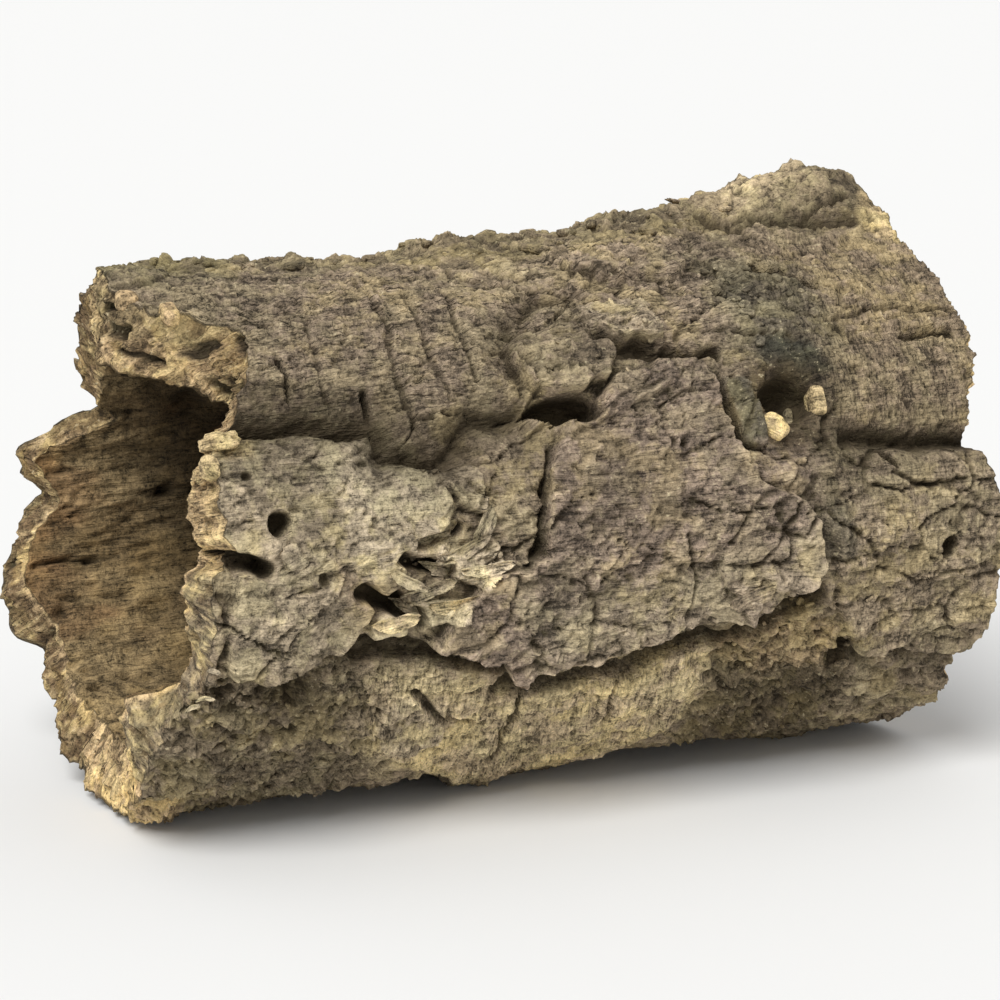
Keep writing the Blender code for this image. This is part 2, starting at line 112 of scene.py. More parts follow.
def hashed(cell: np.ndarray, seed: int) -> np.ndarray:
    """Draws a random number for each whole-number cell.

    Args:
        cell: The cells, as three whole numbers each.
        seed: The field's own seed.

    Returns:
        Numbers from 0 to 1.
    """
    spread = cell * CELL_PRIMES
    key = spread[..., 0] ^ spread[..., 1] ^ spread[..., 2]
    key = (key ^ seed * SEED_PRIME) & WORD
    for shift, factor in MIXERS:
        key = (key ^ (key >> shift)) * factor & WORD
    return ((key ^ (key >> 15)) & HALF_WORD) / HALF_WORD


def smooth_step(low: float, high: float, value: np.ndarray) -> np.ndarray:
    """0 below low and 1 above high, with a soft turn at both."""
    part = np.clip((value - low) / (high - low), 0.0, 1.0)
    return part * part * (3.0 - 2.0 * part)


def between(
    low: tuple[float, float], high: tuple[float, float], value: np.ndarray
) -> np.ndarray:
    """Works out how far a value lies between two soft edges.

    Args:
        low: Where the lower edge starts and ends.
        high: Where the upper edge starts and ends.
        value: The values.

    Returns:
        1 between the edges and 0 outside them.
    """
    return smooth_step(*low, value) * (1.0 - smooth_step(*high, value))


def round_the_tube(x: np.ndarray, degrees: np.ndarray) -> np.ndarray:
    """Places on a plain round tube, in millimetres, where the random fields are read."""
    angle = np.radians(degrees)
    return np.stack(
        [x, -ROUND_RADIUS * np.cos(angle), ROUND_RADIUS * np.sin(angle)], axis=-1
    )


def places(points: Outline) -> np.ndarray:
    """(x, degrees) places as (x, millimetres round the tube)."""
    return np.array(points, float) * (1.0, ARC)


def line_distance(x: np.ndarray, arc: np.ndarray, route: np.ndarray) -> np.ndarray:
    """Distance in millimetres to a line of places.

    Args:
        x: Places along the tube.
        arc: Places round the tube, in millimetres.
        route: The line's points, as x and millimetres round the tube.

    Returns:
        The distance at each place.
    """
    nearest = np.full(x.shape, np.inf)
    for (ax, aa), (bx, ba) in zip(route[:-1], route[1:]):
        along_x, along_a = bx - ax, ba - aa
        part = ((x - ax) * along_x + (arc - aa) * along_a) / (along_x**2 + along_a**2)
        part = np.clip(part, 0.0, 1.0)
        gap = np.hypot(x - ax - part * along_x, arc - aa - part * along_a)
        nearest = np.minimum(nearest, gap)
    return nearest


def depth_inside(x: np.ndarray, arc: np.ndarray, outline: np.ndarray) -> np.ndarray:
    """Distance in millimetres to an outline, negative outside it.

    Args:
        x: Places along the tube.
        arc: Places round the tube, in millimetres.
        outline: The outline's corners, as x and millimetres round the tube.

    Returns:
        The distance at each place.
    """
    closed = np.vstack([outline, outline[:1]])
    inside = np.zeros(x.shape, bool)
    for (ax, aa), (bx, ba) in zip(closed[:-1], closed[1:]):
        if aa == ba:
            continue
        crosses = (aa > arc) != (ba > arc)
        inside ^= crosses & (x < ax + (arc - aa) / (ba - aa) * (bx - ax))
    gap = line_distance(x, arc, closed)
    return np.where(inside, gap, -gap)


def stepped(layer: np.ndarray) -> np.ndarray:
    """Turns a field into layers: a soft slope up to a sharp edge at each whole number."""
    part = layer - np.floor(layer)
    return part * (1.0 - smooth_step(LAYER_EDGE, 1.0, part)) - LAYER_MEAN


def near(x: np.ndarray, arc: np.ndarray, points: np.ndarray, margin: float) -> np.ndarray:
    """Which places lie within a margin of the box round some points."""
    low, high = points.min(axis=0) - margin, points.max(axis=0) + margin
    return (x > low[0]) & (x < high[0]) & (arc > low[1]) & (arc < high[1])


def weight_in(x: np.ndarray, arc: np.ndarray, outline: Outline, blend: float) -> np.ndarray:
    """Works out how far places lie inside an outline.

    Args:
        x: Places along the tube.
        arc: Places round the tube, in millimetres.
        outline: The outline's corners, as x and degrees.
        blend: The half width of its soft edge, in millimetres.

    Returns:
        1 well inside the outline and 0 well outside it.
    """
    corners = places(outline)
    here = near(x, arc, corners, 2.0 * blend)
    weight = np.zeros(x.shape)
    weight[here] = smooth_step(-blend, blend, depth_inside(x[here], arc[here], corners))
    return weight


def unwrapped(degrees: np.ndarray) -> np.ndarray:
    """Angles from -100 up to 260, so that no plate or furrow crosses the break."""
    return (degrees + 100.0) % 360.0 - 100.0


@dataclass(frozen=True)
class Noise:
    """A smooth random field from about -1 to 1, with its cell's sizes in millimetres."""

    seed: int
    cell: tuple[float, float, float]
    layers: int = 1

    def one(self, points: np.ndarray, seed: int) -> np.ndarray:
        """Works out one layer of the field.

        Args:
            points: Places, with a cell for each whole number.
            seed: The layer's own seed.

        Returns:
            The field at each place.
        """
        cell = np.floor(points).astype(np.int64)
        part = points - cell
        fade = part * part * (3.0 - 2.0 * part)
        total = np.zeros(points.shape[:-1])
        for corner in np.ndindex(2, 2, 2):
            weight = np.ones(points.shape[:-1])
            for axis, upper in enumerate(corner):
                weight *= fade[..., axis] if upper else 1.0 - fade[..., axis]
            total += weight * hashed(cell + np.array(corner), seed)
        return 2.0 * total - 1.0

    def at(self, spot: np.ndarray) -> np.ndarray:
        """Adds up the layers, each twice as fine and half as high as the one before.

        Args:
            spot: Places in millimetres.

        Returns:
            The field at each place.
        """
        points = spot / np.array(self.cell)
        total = np.zeros(points.shape[:-1])
        for layer in range(self.layers):
            total += 0.5**layer * self.one(points * FINER**layer, self.seed + layer)
        return total


@dataclass(frozen=True)
class Crackle:
    """Irregular cells over the bark, such as the pieces between drying cracks."""

    seed: int
    size: tuple[float, float]

    def at(self, x: np.ndarray, arc: np.ndarray) -> tuple[np.ndarray, np.ndarray]:
        """Reads the cells.

        Args:
            x: Places along the tube.
            arc: Places round the tube, in millimetres.

        Returns:
            How far each place is from its cell's border, from 0 to about 1, and a random
            number from 0 to 1 that each cell keeps.
        """
        rows = round(WHOLE_ROUND / self.size[1])
        across, up = x / self.size[0], arc / WHOLE_ROUND * rows
        base = np.stack([np.floor(across), np.floor(up)], axis=-1).astype(np.int64)
        nearest = np.full(x.shape, np.inf)
        second = np.full(x.shape, np.inf)
        tone = np.zeros(x.shape)
        for step_x, step_up in np.ndindex(3, 3):
            cell = base + (step_x - 1, step_up - 1)
            key = np.stack([cell[..., 0], cell[..., 1] % rows, cell[..., 0] * 0], axis=-1)
            gap = np.hypot(
                cell[..., 0] + hashed(key, self.seed) - across,
                cell[..., 1] + hashed(key, self.seed + 1) - up,
            )
            tone = np.where(gap < nearest, hashed(key, self.seed + 2), tone)
            second = np.minimum(second, np.maximum(nearest, gap))
            nearest = np.minimum(nearest, gap)
        return second - nearest, tone


@dataclass(frozen=True)
class Plate:
    """A layer of bark that stands proud like a shingle, most at its lower edge."""

    outline: Outline
    upper_rise: float
    lower_rise: float
    edge: float = 1.6
    margin: float = 6.0  # how far out its ragged edge is looked for

    def add_to(
        self, total: np.ndarray, x: np.ndarray, arc: np.ndarray, ragged: np.ndarray
    ) -> None:
        """Adds the plate's rise.

        Args:
            total: The relief, which it is added to.
            x: Places along the tube.
            arc: Places round the tube, in millimetres.
            ragged: How far the plate's edge moves at each place.
        """
        corners = places(self.outline)
        here = near(x, arc, corners, self.margin)
        low, high = corners[:, 1].min(), corners[:, 1].max()
        up = np.clip((arc[here] - low) / (high - low), 0.0, 1.0)
        rise = self.lower_rise + (self.upper_rise - self.lower_rise) * up
        inside = depth_inside(x[here], arc[here], corners) + ragged[here]
        total[here] += rise * smooth_step(-self.edge / 2, self.edge / 2, inside)


@dataclass(frozen=True)
class Furrow:
    """A crack or groove along a line of places."""

    route: Outline
    depth: float
    half_width: float
    rolled: bool = False

    def cut_in(
        self, total: np.ndarray, x: np.ndarray, arc: np.ndarray, ragged: np.ndarray
    ) -> None:
        """Cuts the furrow into a total depth, where it is deeper than what is there.

        Args:
            total: The depth, which it is cut into.
            x: Places along the tube.
            arc: Places round the tube, in millimetres.
            ragged: How far the furrow's sides move at each place.
        """
        route = places(self.route)
        here = near(x, arc, route, 6.0 * self.half_width)
        gap = line_distance(x[here], arc[here], route)
        if self.rolled:
            cut = np.exp(-gap / self.half_width)
        else:
            gap = np.maximum(gap + 0.75 * ragged[here], 0.0)
            cut = 1.0 - smooth_step(0.2 * self.half_width, 1.4 * self.half_width, gap)
        total[here] = np.maximum(total[here], self.depth * cut)


@dataclass(frozen=True)
class Lump:
    """A rounded knob, or with a negative rise a pit, given by its half sizes along and round."""

    place: Place
    half_sizes: tuple[float, float]
    rise: float
    turn: float = 0.0
    steepness: float = 1.0

    def weight(self, x: np.ndarray, arc: np.ndarray) -> np.ndarray:
        """Works out how much of the lump there is.

        Args:
            x: Places along the tube.
            arc: Places round the tube, in millimetres.

        Returns:
            0 to 1 at each place.
        """
        turn = np.radians(self.turn)
        half_round = WHOLE_ROUND / 2.0
        along = x - self.place[0]
        across = (arc - self.place[1] * ARC + half_round) % WHOLE_ROUND - half_round
        first = (along * np.cos(turn) + across * np.sin(turn)) / self.half_sizes[0]
        second = (across * np.cos(turn) - along * np.sin(turn)) / self.half_sizes[1]
        return 1.0 - smooth_step(0.0, 1.25, np.hypot(first, second) ** self.steepness)


@dataclass(frozen=True)
class Stain:
    """An area of the bark with a tone of its own; some stains lay painted shade instead."""

    outline: Outline
    tone: Tone
    strength: float = 1.0
    blend: float = 3.0


@dataclass(frozen=True)
class RimPit:
    """A hole in the broken face at the mouth, given by its angle and its part of the way out."""

    degrees: float
    part: float
    half_degrees: float
    half_part: float
    depth: float


PLATES = {
    "main slab": Plate(
        ((-14, 22), (-18, 14), (-20, 2), (-34, 0), (-44, -8), (-51, -14), (-36, -17),
         (-30, -17), (-27, -22), (-23, -24), (-20, -21), (-4, -20), (10, -18.5), (18, -15.5),
         (27, -14), (42, -14), (50, -11), (63, -5.5), (63, 4), (58, 9), (48, 12), (43, 19),
         (40, 28), (40, 34), (36, 40), (24, 41), (10, 38), (2, 33), (-8, 27)),
        1.0, 8.0),
    "wedge plate": Plate(
        ((-9, 28), (2, 33), (10, 38), (24, 42), (30, 40), (27, 37), (21, 34), (15, 31.5),
         (10, 29.5), (1, 28.5)),
        1.0, 3.5, 1.2),
    "overhanging flake": Plate(
        ((-19, 50), (-20, 43), (-17, 37), (-10, 35), (-2, 35), (5, 36), (9, 41), (9, 46),
         (6, 50), (-5, 52)),
        2.0, 7.5),
    "bright flake": Plate(
        ((7, 57), (18, 59), (27, 57), (27, 48), (20, 46), (13, 47), (6, 50)), 1.0, 4.5),
    "upper shelf": Plate(
        ((15, 68), (24, 66.5), (33, 67), (42, 65.5), (52, 71), (50, 84), (10, 84), (5, 75)),
        0.0, 3.5),
    "block by the crack": Plate(
        ((42, 35), (49, 36), (51, 26), (48, 19), (44, 20), (42, 28)), 2.0, 3.5, 1.0),
    "flaky right of the slab": Plate(
        ((34, 10), (31, 2), (33, -6), (42, -13), (52, -10), (61, -7), (65, 0), (61, 9),
         (50, 12), (42, 10)),
        1.0, 2.5),
    "lower lobe": Plate(
        ((66, 17), (80, 19), (100, 17), (124, 16), (126, -10), (122, -31), (115, -32),
         (102, -31), (94, -28), (88, -30), (81, -27), (74, -18), (72, -6), (66, 4)),
        1.0, 4.0, 2.5),
    "ridge on the right lobe": Plate(
        ((84, 47), (100, 48.5), (122, 47), (122, 45.4), (100, 46.8), (84, 45.4)), 1.0, 1.2, 0.8),
    "pale foot": Plate(
        ((84, -42), (104, -40), (124, -41), (124, -55), (108, -60), (88, -56)), 2.5, 0.5),
    "mid-left slab": Plate(
        ((-110, 29), (-100, 31), (-84, 31), (-64, 29.5), (-60, 24), (-46, 20), (-42, 13),
         (-46, 9), (-53, 8), (-59, 2), (-59, -1), (-66, -4), (-70, -9), (-74, -13),
         (-84, -15), (-96, -18), (-106, -16), (-108, -6), (-104, 4), (-110, 12)),
        2.5, 4.5, 2.2),
    "small flake": Plate(
        ((-47, 20), (-38, 20), (-34, 15), (-36, 12), (-40, 12), (-43, 15)), 3.0, 5.0, 1.0),
    "curled flakes": Plate(
        ((-49, 6), (-42, 4), (-33, 5), (-31, 1), (-37, -3), (-44, -1), (-48, 1)),
        1.5, 4.0, 1.0),
    "lower curled flakes": Plate(
        ((-57, -4), (-48, -5), (-40, -5), (-42, -9), (-52, -10), (-60, -8)), 1.0, 4.0, 1.2),
    "pale scale": Plate(
        ((-69, -9), (-63, -8), (-57, -9), (-60, -13), (-67, -14)), 2.0, 4.5, 1.2),
    "lower band": Plate(
        ((-72, -20), (-51, -22), (-30, -27), (-12, -26), (12, -24), (34, -20), (38, -30),
         (34, -50), (14, -66), (-14, -74), (-30, -66), (-50, -52), (-66, -40)),
        0.5, 2.5, 4.0),
    "pale plate": Plate(
        ((-62, -30), (-52, -27), (-43, -32), (-40, -42), (-50, -45), (-60, -41)),
        1.0, 2.5, 1.5),
    "hanging plate": Plate(
        ((-30, -56), (-14, -56), (-13, -74), (-18, -78), (-29, -74)), 1.0, 3.5),
    "rim rib": Plate(
        ((-120, 2), (-111, 2), (-109, -8), (-110, -18), (-118, -20)), 2.0, 2.5, 1.0),
    "back shingle": Plate(
        ((-90, 170), (-50, 176), (-8, 172), (-4, 200), (-30, 214), (-80, 206), (-96, 190)),
        5.5, 1.0, 2.5),
    "far back shingle": Plate(
        ((10, 150), (56, 143), (104, 150), (110, 178), (70, 194), (30, 188), (6, 170)),
        6.5, 1.5, 2.5),
    "low back shingle": Plate(
        ((-60, 222), (0, 216), (60, 214), (84, 232), (50, 246), (-20, 250), (-58, 240)),
        4.0, 1.0, 2.5),
}

FURROWS = {
    "under the roll": Furrow(
        ((-104, 33), (-84, 33), (-72, 32), (-63, 31), (-60, 25), (-52, 23), (-45, 21.5),
         (-42, 24), (-32, 31), (-22, 31)),
        9.0, 5.5, True),
    "end of the roll": Furrow(
        ((-20, 33), (-20, 46), (-14, 55), (-4, 62), (6, 62)), 4.0, 3.5, True),
    "under the right lobe": Furrow(((78, 20), (84, 19.5), (100, 19), (126, 18)), 9.0, 4.0, True),
    "slab crack": Furrow(((40.5, 36), (40, 28), (42.5, 20)), 9.0, 1.4),
    "left of the slab": Furrow(((-14, 23), (-18, 15), (-19, 5), (-26, 0), (-35, 1)), 4.0, 1.1),
    "under the slab": Furrow(
        ((-27, -30), (-20, -28.5), (-4, -27.5), (10, -26), (18, -23), (27, -21.5),
         (42, -21.5), (50, -18.5), (64, -12.5)),
        5.0, 3.2),
    "under the left slab": Furrow(
        ((-70, -16), (-60, -17.5), (-48, -18.5), (-36, -21), (-28, -24)), 5.0, 2.4),
    "under the bright flake": Furrow(((7, 47), (15, 44.5), (28, 44)), 4.0, 2.6),
    "upper slot": Furrow(((29, 45), (35, 43.2), (42, 42.5)), 7.0, 2.2),
    "right slot": Furrow(((69, 69), (75, 66.5), (82, 61)), 8.0, 2.4),
    "mouth slot": Furrow(((-124, 9), (-108, 7), (-98, 4.5)), 12.0, 2.8),
    "curl hollow": Furrow(((-54, 7), (-48, 7), (-43, 8.5)), 6.0, 1.8),
    "second curl hollow": Furrow(((-59, 4), (-53, 2), (-47, 1)), 8.0, 2.4),
    "third curl hollow": Furrow(((-70, -3), (-63, -5), (-55, -8)), 9.0, 3.2),
    "hollow under the scales": Furrow(((-74, -15), (-59, -14.5), (-40, -19)), 5.0, 3.0),
    "roll crack": Furrow(((-84, 48), (-82.5, 44), (-84, 39), (-83, 34)), 3.5, 0.8),
    "second roll crack": Furrow(((-62, 39), (-61.5, 35), (-62.5, 31)), 6.0, 1.2),
    "band crack": Furrow(((-20, -24), (-21.5, -32), (-20, -42), (-21, -56)), 2.8, 0.9),
    "second band crack": Furrow(((9, -24), (8, -32), (10, -42)), 2.0, 0.8),
    "band step": Furrow(((-53, -27), (-42, -36), (-30, -39)), 3.0, 1.2),
    "lobe crack": Furrow(((83, 19), (90, 13)), 5.0, 1.2),
    "right crack": Furrow(((104, 44), (119, 44)), 3.0, 1.2),
    "under the lower lobe": Furrow(
        ((80, -29), (88, -32), (94, -30), (102, -33), (118, -34)), 5.0, 3.6),
    "stub crease": Furrow(((64, 89), (72, 86), (84, 85), (100, 83), (112, 84)), 5.5, 2.4, True),
    "back furrow": Furrow(
        ((-118, 156), (-70, 164), (-20, 158), (30, 139), (80, 134), (122, 140)),
        8.0, 6.0, True),
    "low back furrow": Furrow(
        ((-120, 214), (-70, 212), (-10, 208), (40, 201), (90, 205), (122, 212)),
        8.0, 6.0, True),
}

# Cracks too fine for the solid
FINE_CRACKS = {
    "first fold of the roll": Furrow(((-73, 62), (-72, 50), (-73.5, 38)), 1.1, 0.8),
    "second fold": Furrow(((-52, 72), (-51, 55), (-53, 42), (-51, 30)), 1.3, 0.9),
    "third fold": Furrow(((-41, 66), (-42, 50), (-40, 36)), 1.1, 0.8),
    "fourth fold": Furrow(((-30, 66), (-31, 52), (-30, 40)), 1.3, 0.9),
    "crack in the slab": Furrow(((22, -12), (25, -4), (22, 4)), 1.4, 0.7),
    "low crack in the slab": Furrow(((-6, -18), (-4, -8), (-8, -2)), 1.3, 0.7),
    "diagonal crack": Furrow(((34, 2), (42, 8), (50, 11)), 1.6, 0.8),
    "stub crack": Furrow(((64, 92), (72, 89), (82, 87)), 3.0, 1.2),
    "stub's second crack": Furrow(((94, 84), (102, 87), (112, 89)), 2.6, 1.0),
    "lobe's long crack": Furrow(((88, 12), (100, 9), (112, 10)), 1.8, 0.7),
    "low lobe crack": Furrow(((84, -8), (98, -12), (116, -10)), 1.6, 0.7),
    "line in the lobe": Furrow(((84, 50), (98, 52), (122, 50)), 1.5, 0.8),
    "upper line": Furrow(((-20, 66), (0, 70), (22, 68)), 1.4, 0.8),
    "slab's upper line": Furrow(((-8, 24), (6, 31), (20, 36)), 1.2, 0.7),
    "line right of the slab": Furrow(((46, 4), (56, 1), (62, 6)), 1.6, 0.8),
    "second line there": Furrow(((42, -4), (50, 2), (55, 8)), 1.4, 0.7),
}

LUMPS = {
    "hollow under the flake": Lump((-9, 31), (10.5, 4.5), -15.0, 0.0, 2.0),
    "knot hole": Lump((61.5, 31), (8.6, 7.8), -11.0, 0.0, 1.5),
    "knot hollow": Lump((60, 26), (12.0, 13.0), -4.0),
    "purple lump": Lump((56, 14.5), (7.5, 6.5), 3.5),
    "green lump": Lump((69.5, 1), (6.5, 7.5), 3.0),
    "leaning lump": Lump((67, -12.5), (4.5, 8.5), 4.5, -35.0),
    "dark hollow": Lump((78, -28), (5.0, 10.0), -6.5),
    "worm hole": Lump((-93, 12), (2.6, 3.2), -8.0, 0.0, 2.0),
    "brown swelling": Lump((-62, 7), (9.0, 8.0), 2.5),
    "curved hole": Lump((107.5, -5), (3.0, 3.4), -6.0, 0.0, 2.0),
    "low dark patch": Lump((-89, -22), (10.0, 7.0), -4.0),
    "low pit": Lump((-90, -33), (7.0, 3.0), -4.0),
    "right pit": Lump((40, -22), (6.0, 4.0), -4.0),
    "mouth bottom": Lump((-114, -71), (12.0, 12.0), 3.0),
    "foot at the mouth": Lump((-92, -92), (26.0, 22.0), 5.0),
    "middle foot": Lump((-4, -88), (30.0, 22.0), 5.0),
    "far foot": Lump((86, -91), (26.0, 22.0), 5.0),
}

# Holes too small for the solid
BORE_PITS = {
    "low hole": Lump((-106, 238), (2.2, 1.8), 5.0, 0.0, 2.0),
    "hole beside it": Lump((-116, 243), (2.4, 1.8), 4.5, 0.0, 2.0),
    "round hollow": Lump((-85, 180), (3.2, 3.0), 5.0, 0.0, 2.0),
    "second hollow": Lump((-75, 181), (2.6, 2.6), 4.0, 0.0, 2.0),
    "dark hollow inside": Lump((-79, 150), (7.0, 6.0), 4.0),
}
BORE_CRACK = Furrow(((-126, 199), (-117, 198), (-106, 199.5)), 3.0, 1.0)

FINE_PITS = {
    "bark hole": Lump((-85, 58), (1.4, 1.4), -3.0, 0.0, 3.0),
    "second bark hole": Lump((-76, 62), (1.1, 1.1), -2.5, 0.0, 3.0),
    "pit in the left slab": Lump((-100, 22), (1.6, 1.2), -2.5, 0.0, 2.0),
    "pit below it": Lump((-82, 2), (1.6, 1.6), -2.5, 0.0, 2.0),
    "pit in the lobe": Lump((96, 52), (1.2, 1.2), -2.5, 0.0, 3.0),
    "pit by the shelf": Lump((52, 60), (1.6, 1.4), -3.0, 0.0, 2.0),
    "pit under the shelf": Lump((34, 62), (2.2, 1.2), -3.0, 0.0, 2.0),
    "pit in the slab": Lump((24, 22), (1.2, 1.2), -2.0, 0.0, 3.0),
}

GRAVEL = ((-124, -16), (-70, -15), (-62, -30), (-60, -60), (-90, -75), (-124, -75))
ROUGH = ((36, -20), (62, -12), (84, -22), (84, -60), (40, -62))
SMOOTH_ROLL = ((-100, 34), (-26, 34), (-22, 60), (-30, 80), (-104, 82))
MAIN_SLAB = PLATES["main slab"].outline
LEFT_SLAB = PLATES["mid-left slab"].outline
UPPER_MIDDLE = ((-20, 62), (10, 84), (60, 84), (66, 60), (40, 44), (-10, 50))
RIGHT_LOBE = ((64, 62), (72, 40), (72, 24), (80, 20), (128, 19), (128, 78), (84, 80), (70, 76))
LOWER_LOBE = PLATES["lower lobe"].outline
BAND = PLATES["lower band"].outline
CREST_TOP = ((-120, 86), (-60, 84), (-10, 72), (60, 84), (130, 84), (130, 118), (-120, 112))

STAINS = (
    Stain(SMOOTH_ROLL, Tone.ROLL, 0.8, 8.0),
    Stain(UPPER_MIDDLE, Tone.ROLL, 0.7, 6.0),
    Stain(MAIN_SLAB, Tone.PLUM, 0.9, 3.0),
    Stain(LEFT_SLAB, Tone.TAN, 0.75, 3.0),
    Stain(RIGHT_LOBE, Tone.LOBE, 0.8, 6.0),
    Stain(LOWER_LOBE, Tone.BARK, 0.8, 4.0),
    # The lower band's pale tan, partly painted light on a side that faces down
    Stain(BAND, Tone.BAND, 0.85, 4.0),
    Stain(GRAVEL, Tone.GRAVEL, 0.9, 5.0),
    Stain(ROUGH, Tone.OLIVE, 0.55, 5.0),
    Stain(CREST_TOP, Tone.OLIVE, 0.45, 7.0),
    Stain(((52, 70), (82, 70), (84, 46), (66, 38), (52, 42), (48, 56)), Tone.SHADE, 0.6, 8.0),
    Stain(((56, 46), (74, 44), (76, 36), (56, 37)), Tone.SHADE, 0.85, 2.0),
    Stain(((-126, 74), (-84, 76), (-84, 110), (-126, 110)), Tone.MOSS, 0.4, 4.0),
    Stain(PLATES["bright flake"].outline, Tone.TAN, 0.55, 1.5),
    Stain(PLATES["overhanging flake"].outline, Tone.BARK, 0.8, 2.0),
    Stain(PLATES["curled flakes"].outline, Tone.CREAM, 0.6, 1.5),
    Stain(PLATES["lower curled flakes"].outline, Tone.CREAM, 0.5, 1.5),
    Stain(PLATES["pale scale"].outline, Tone.CREAM, 0.6, 1.5),
    Stain(PLATES["pale plate"].outline, Tone.TAN, 0.7, 2.0),
    Stain(PLATES["pale foot"].outline, Tone.OLIVE, 0.25, 2.5),
    Stain(PLATES["small flake"].outline, Tone.TAN, 0.6, 1.0),
    Stain(((-116, 30), (-104, 32), (-96, 30), (-98, 26), (-112, 25)), Tone.STRAW, 0.8, 1.5),
    Stain(((-124, 22), (-114, 24), (-108, 14), (-110, 4), (-122, 6)), Tone.CREAM, 0.4, 2.0),
    Stain(((-126, -60), (-112, -58), (-108, -72), (-126, -78)), Tone.CUT, 0.6, 3.0),
    Stain(((114, 78), (126, 74), (128, 88), (119, 90), (113, 85)), Tone.STRAW, 0.8, 1.5),
    Stain(((72, 88), (104, 90), (108, 103), (72, 103)), Tone.BAND, 0.6, 6.0),
    # Painted shade in and round the knot hole
    Stain(((48, 38), (58, 41), (74, 39), (78, 24), (68, 16), (48, 20)), Tone.PAINTED_SHADE, 0.6, 4.0),
    Stain(((53, 38), (62, 40), (71, 37), (71, 27), (62, 23), (53, 25)), Tone.PAINTED_SHADE, 0.7, 2.0),
    # Painted shade in the crease under the stub
    Stain(
        ((66, 88), (84, 86.5), (100, 84.5), (112, 85.5), (112, 82.5), (100, 81.5), (84, 83),
         (66, 85)),
        Tone.PAINTED_SHADE, 0.45, 1.5),
    Stain(((42, 36), (49, 36), (51, 26), (48, 19), (43, 20)), Tone.SHADE, 0.7, 1.5),
    Stain(((64, 9), (74, 8), (76, -5), (66, -6)), Tone.SHADE, 0.5, 2.0),
    Stain(((38, -18), (60, -14), (72, -20), (74, -30), (50, -32), (38, -28)), Tone.CUT, 0.35, 3.0),
    # Darker bark low on the right, towards the underside
    Stain(((40, -32), (80, -32), (84, -60), (40, -62)), Tone.PAINTED_SHADE, 0.55, 4.0),
    Stain(((46, 21), (66, 21), (68, 6), (47, 5)), Tone.PLUM, 0.9, 2.5),
    # Painted shadow under the fragments in the knot hole
    Stain(((51, 22), (70, 23), (70, 19.5), (52, 18.5)), Tone.PAINTED_SHADE, 0.7, 1.5),
    # Painted shade in the slab crack
    Stain(((39.5, 37), (41.7, 37), (43.8, 20), (41.4, 20)), Tone.PAINTED_SHADE, 0.8, 0.8),
    # Painted shadow under the main slab's lower edge
    Stain(
        ((-30, -27), (-20, -25.5), (10, -23.5), (27, -19), (50, -15.5), (65, -8), (68, -13),
         (50, -20.5), (27, -24.5), (10, -28.5), (-20, -31), (-32, -31.5)),
        Tone.PAINTED_SHADE, 0.75, 2.2),
    # Painted shadow under the left slab
    Stain(
        ((-70, -14), (-48, -16.5), (-30, -21), (-30, -25), (-48, -21), (-72, -17)),
        Tone.PAINTED_SHADE, 0.6, 1.5),
    # Painted shadow in the groove under the roll
    Stain(
        ((-100, 37), (-66, 35), (-60, 28), (-46, 25), (-46, 22), (-62, 25), (-66, 31),
         (-100, 33)),
        Tone.PAINTED_SHADE, 0.55, 2.0),
    # Painted shadow under the right lobe
    Stain(((78, 22), (126, 21), (126, 17.5), (78, 18.5)), Tone.PAINTED_SHADE, 0.5, 1.5),
    Stain(((-12, -14), (6, -12), (12, -20), (-10, -21)), Tone.GRAVEL, 0.6, 5.0),
    Stain(((-22, -22), (14, -21), (12, -30), (-22, -32)), Tone.GRAVEL, 0.55, 5.0),
    # Painted shade in the low hollow near the mouth
    Stain(((-98, -16), (-80, -15), (-78, -30), (-96, -30)), Tone.PAINTED_SHADE, 0.5, 5.0),
    Stain(((-78, 4), (-60, 0), (-58, -6), (-74, -10)), Tone.RUST, 0.2, 3.0),
    Stain(((-66, 16), (-54, 14), (-52, 2), (-66, 2)), Tone.RUST, 0.15, 3.0),
    Stain(((-80, 24), (-58, 28), (-46, 20), (-46, 6), (-70, 0)), Tone.CREAM, 0.65, 5.0),
    # Painted shade on the underside of the roll
    Stain(
        ((-100, 44), (-60, 40), (-46, 32), (-44, 22), (-70, 30), (-102, 32)),
        Tone.PAINTED_SHADE, 0.36, 4.0),
    Stain(((-30, -6), (40, -2), (62, 4), (60, -8), (20, -16), (-18, -20)), Tone.TAN, 0.6, 5.0),
)


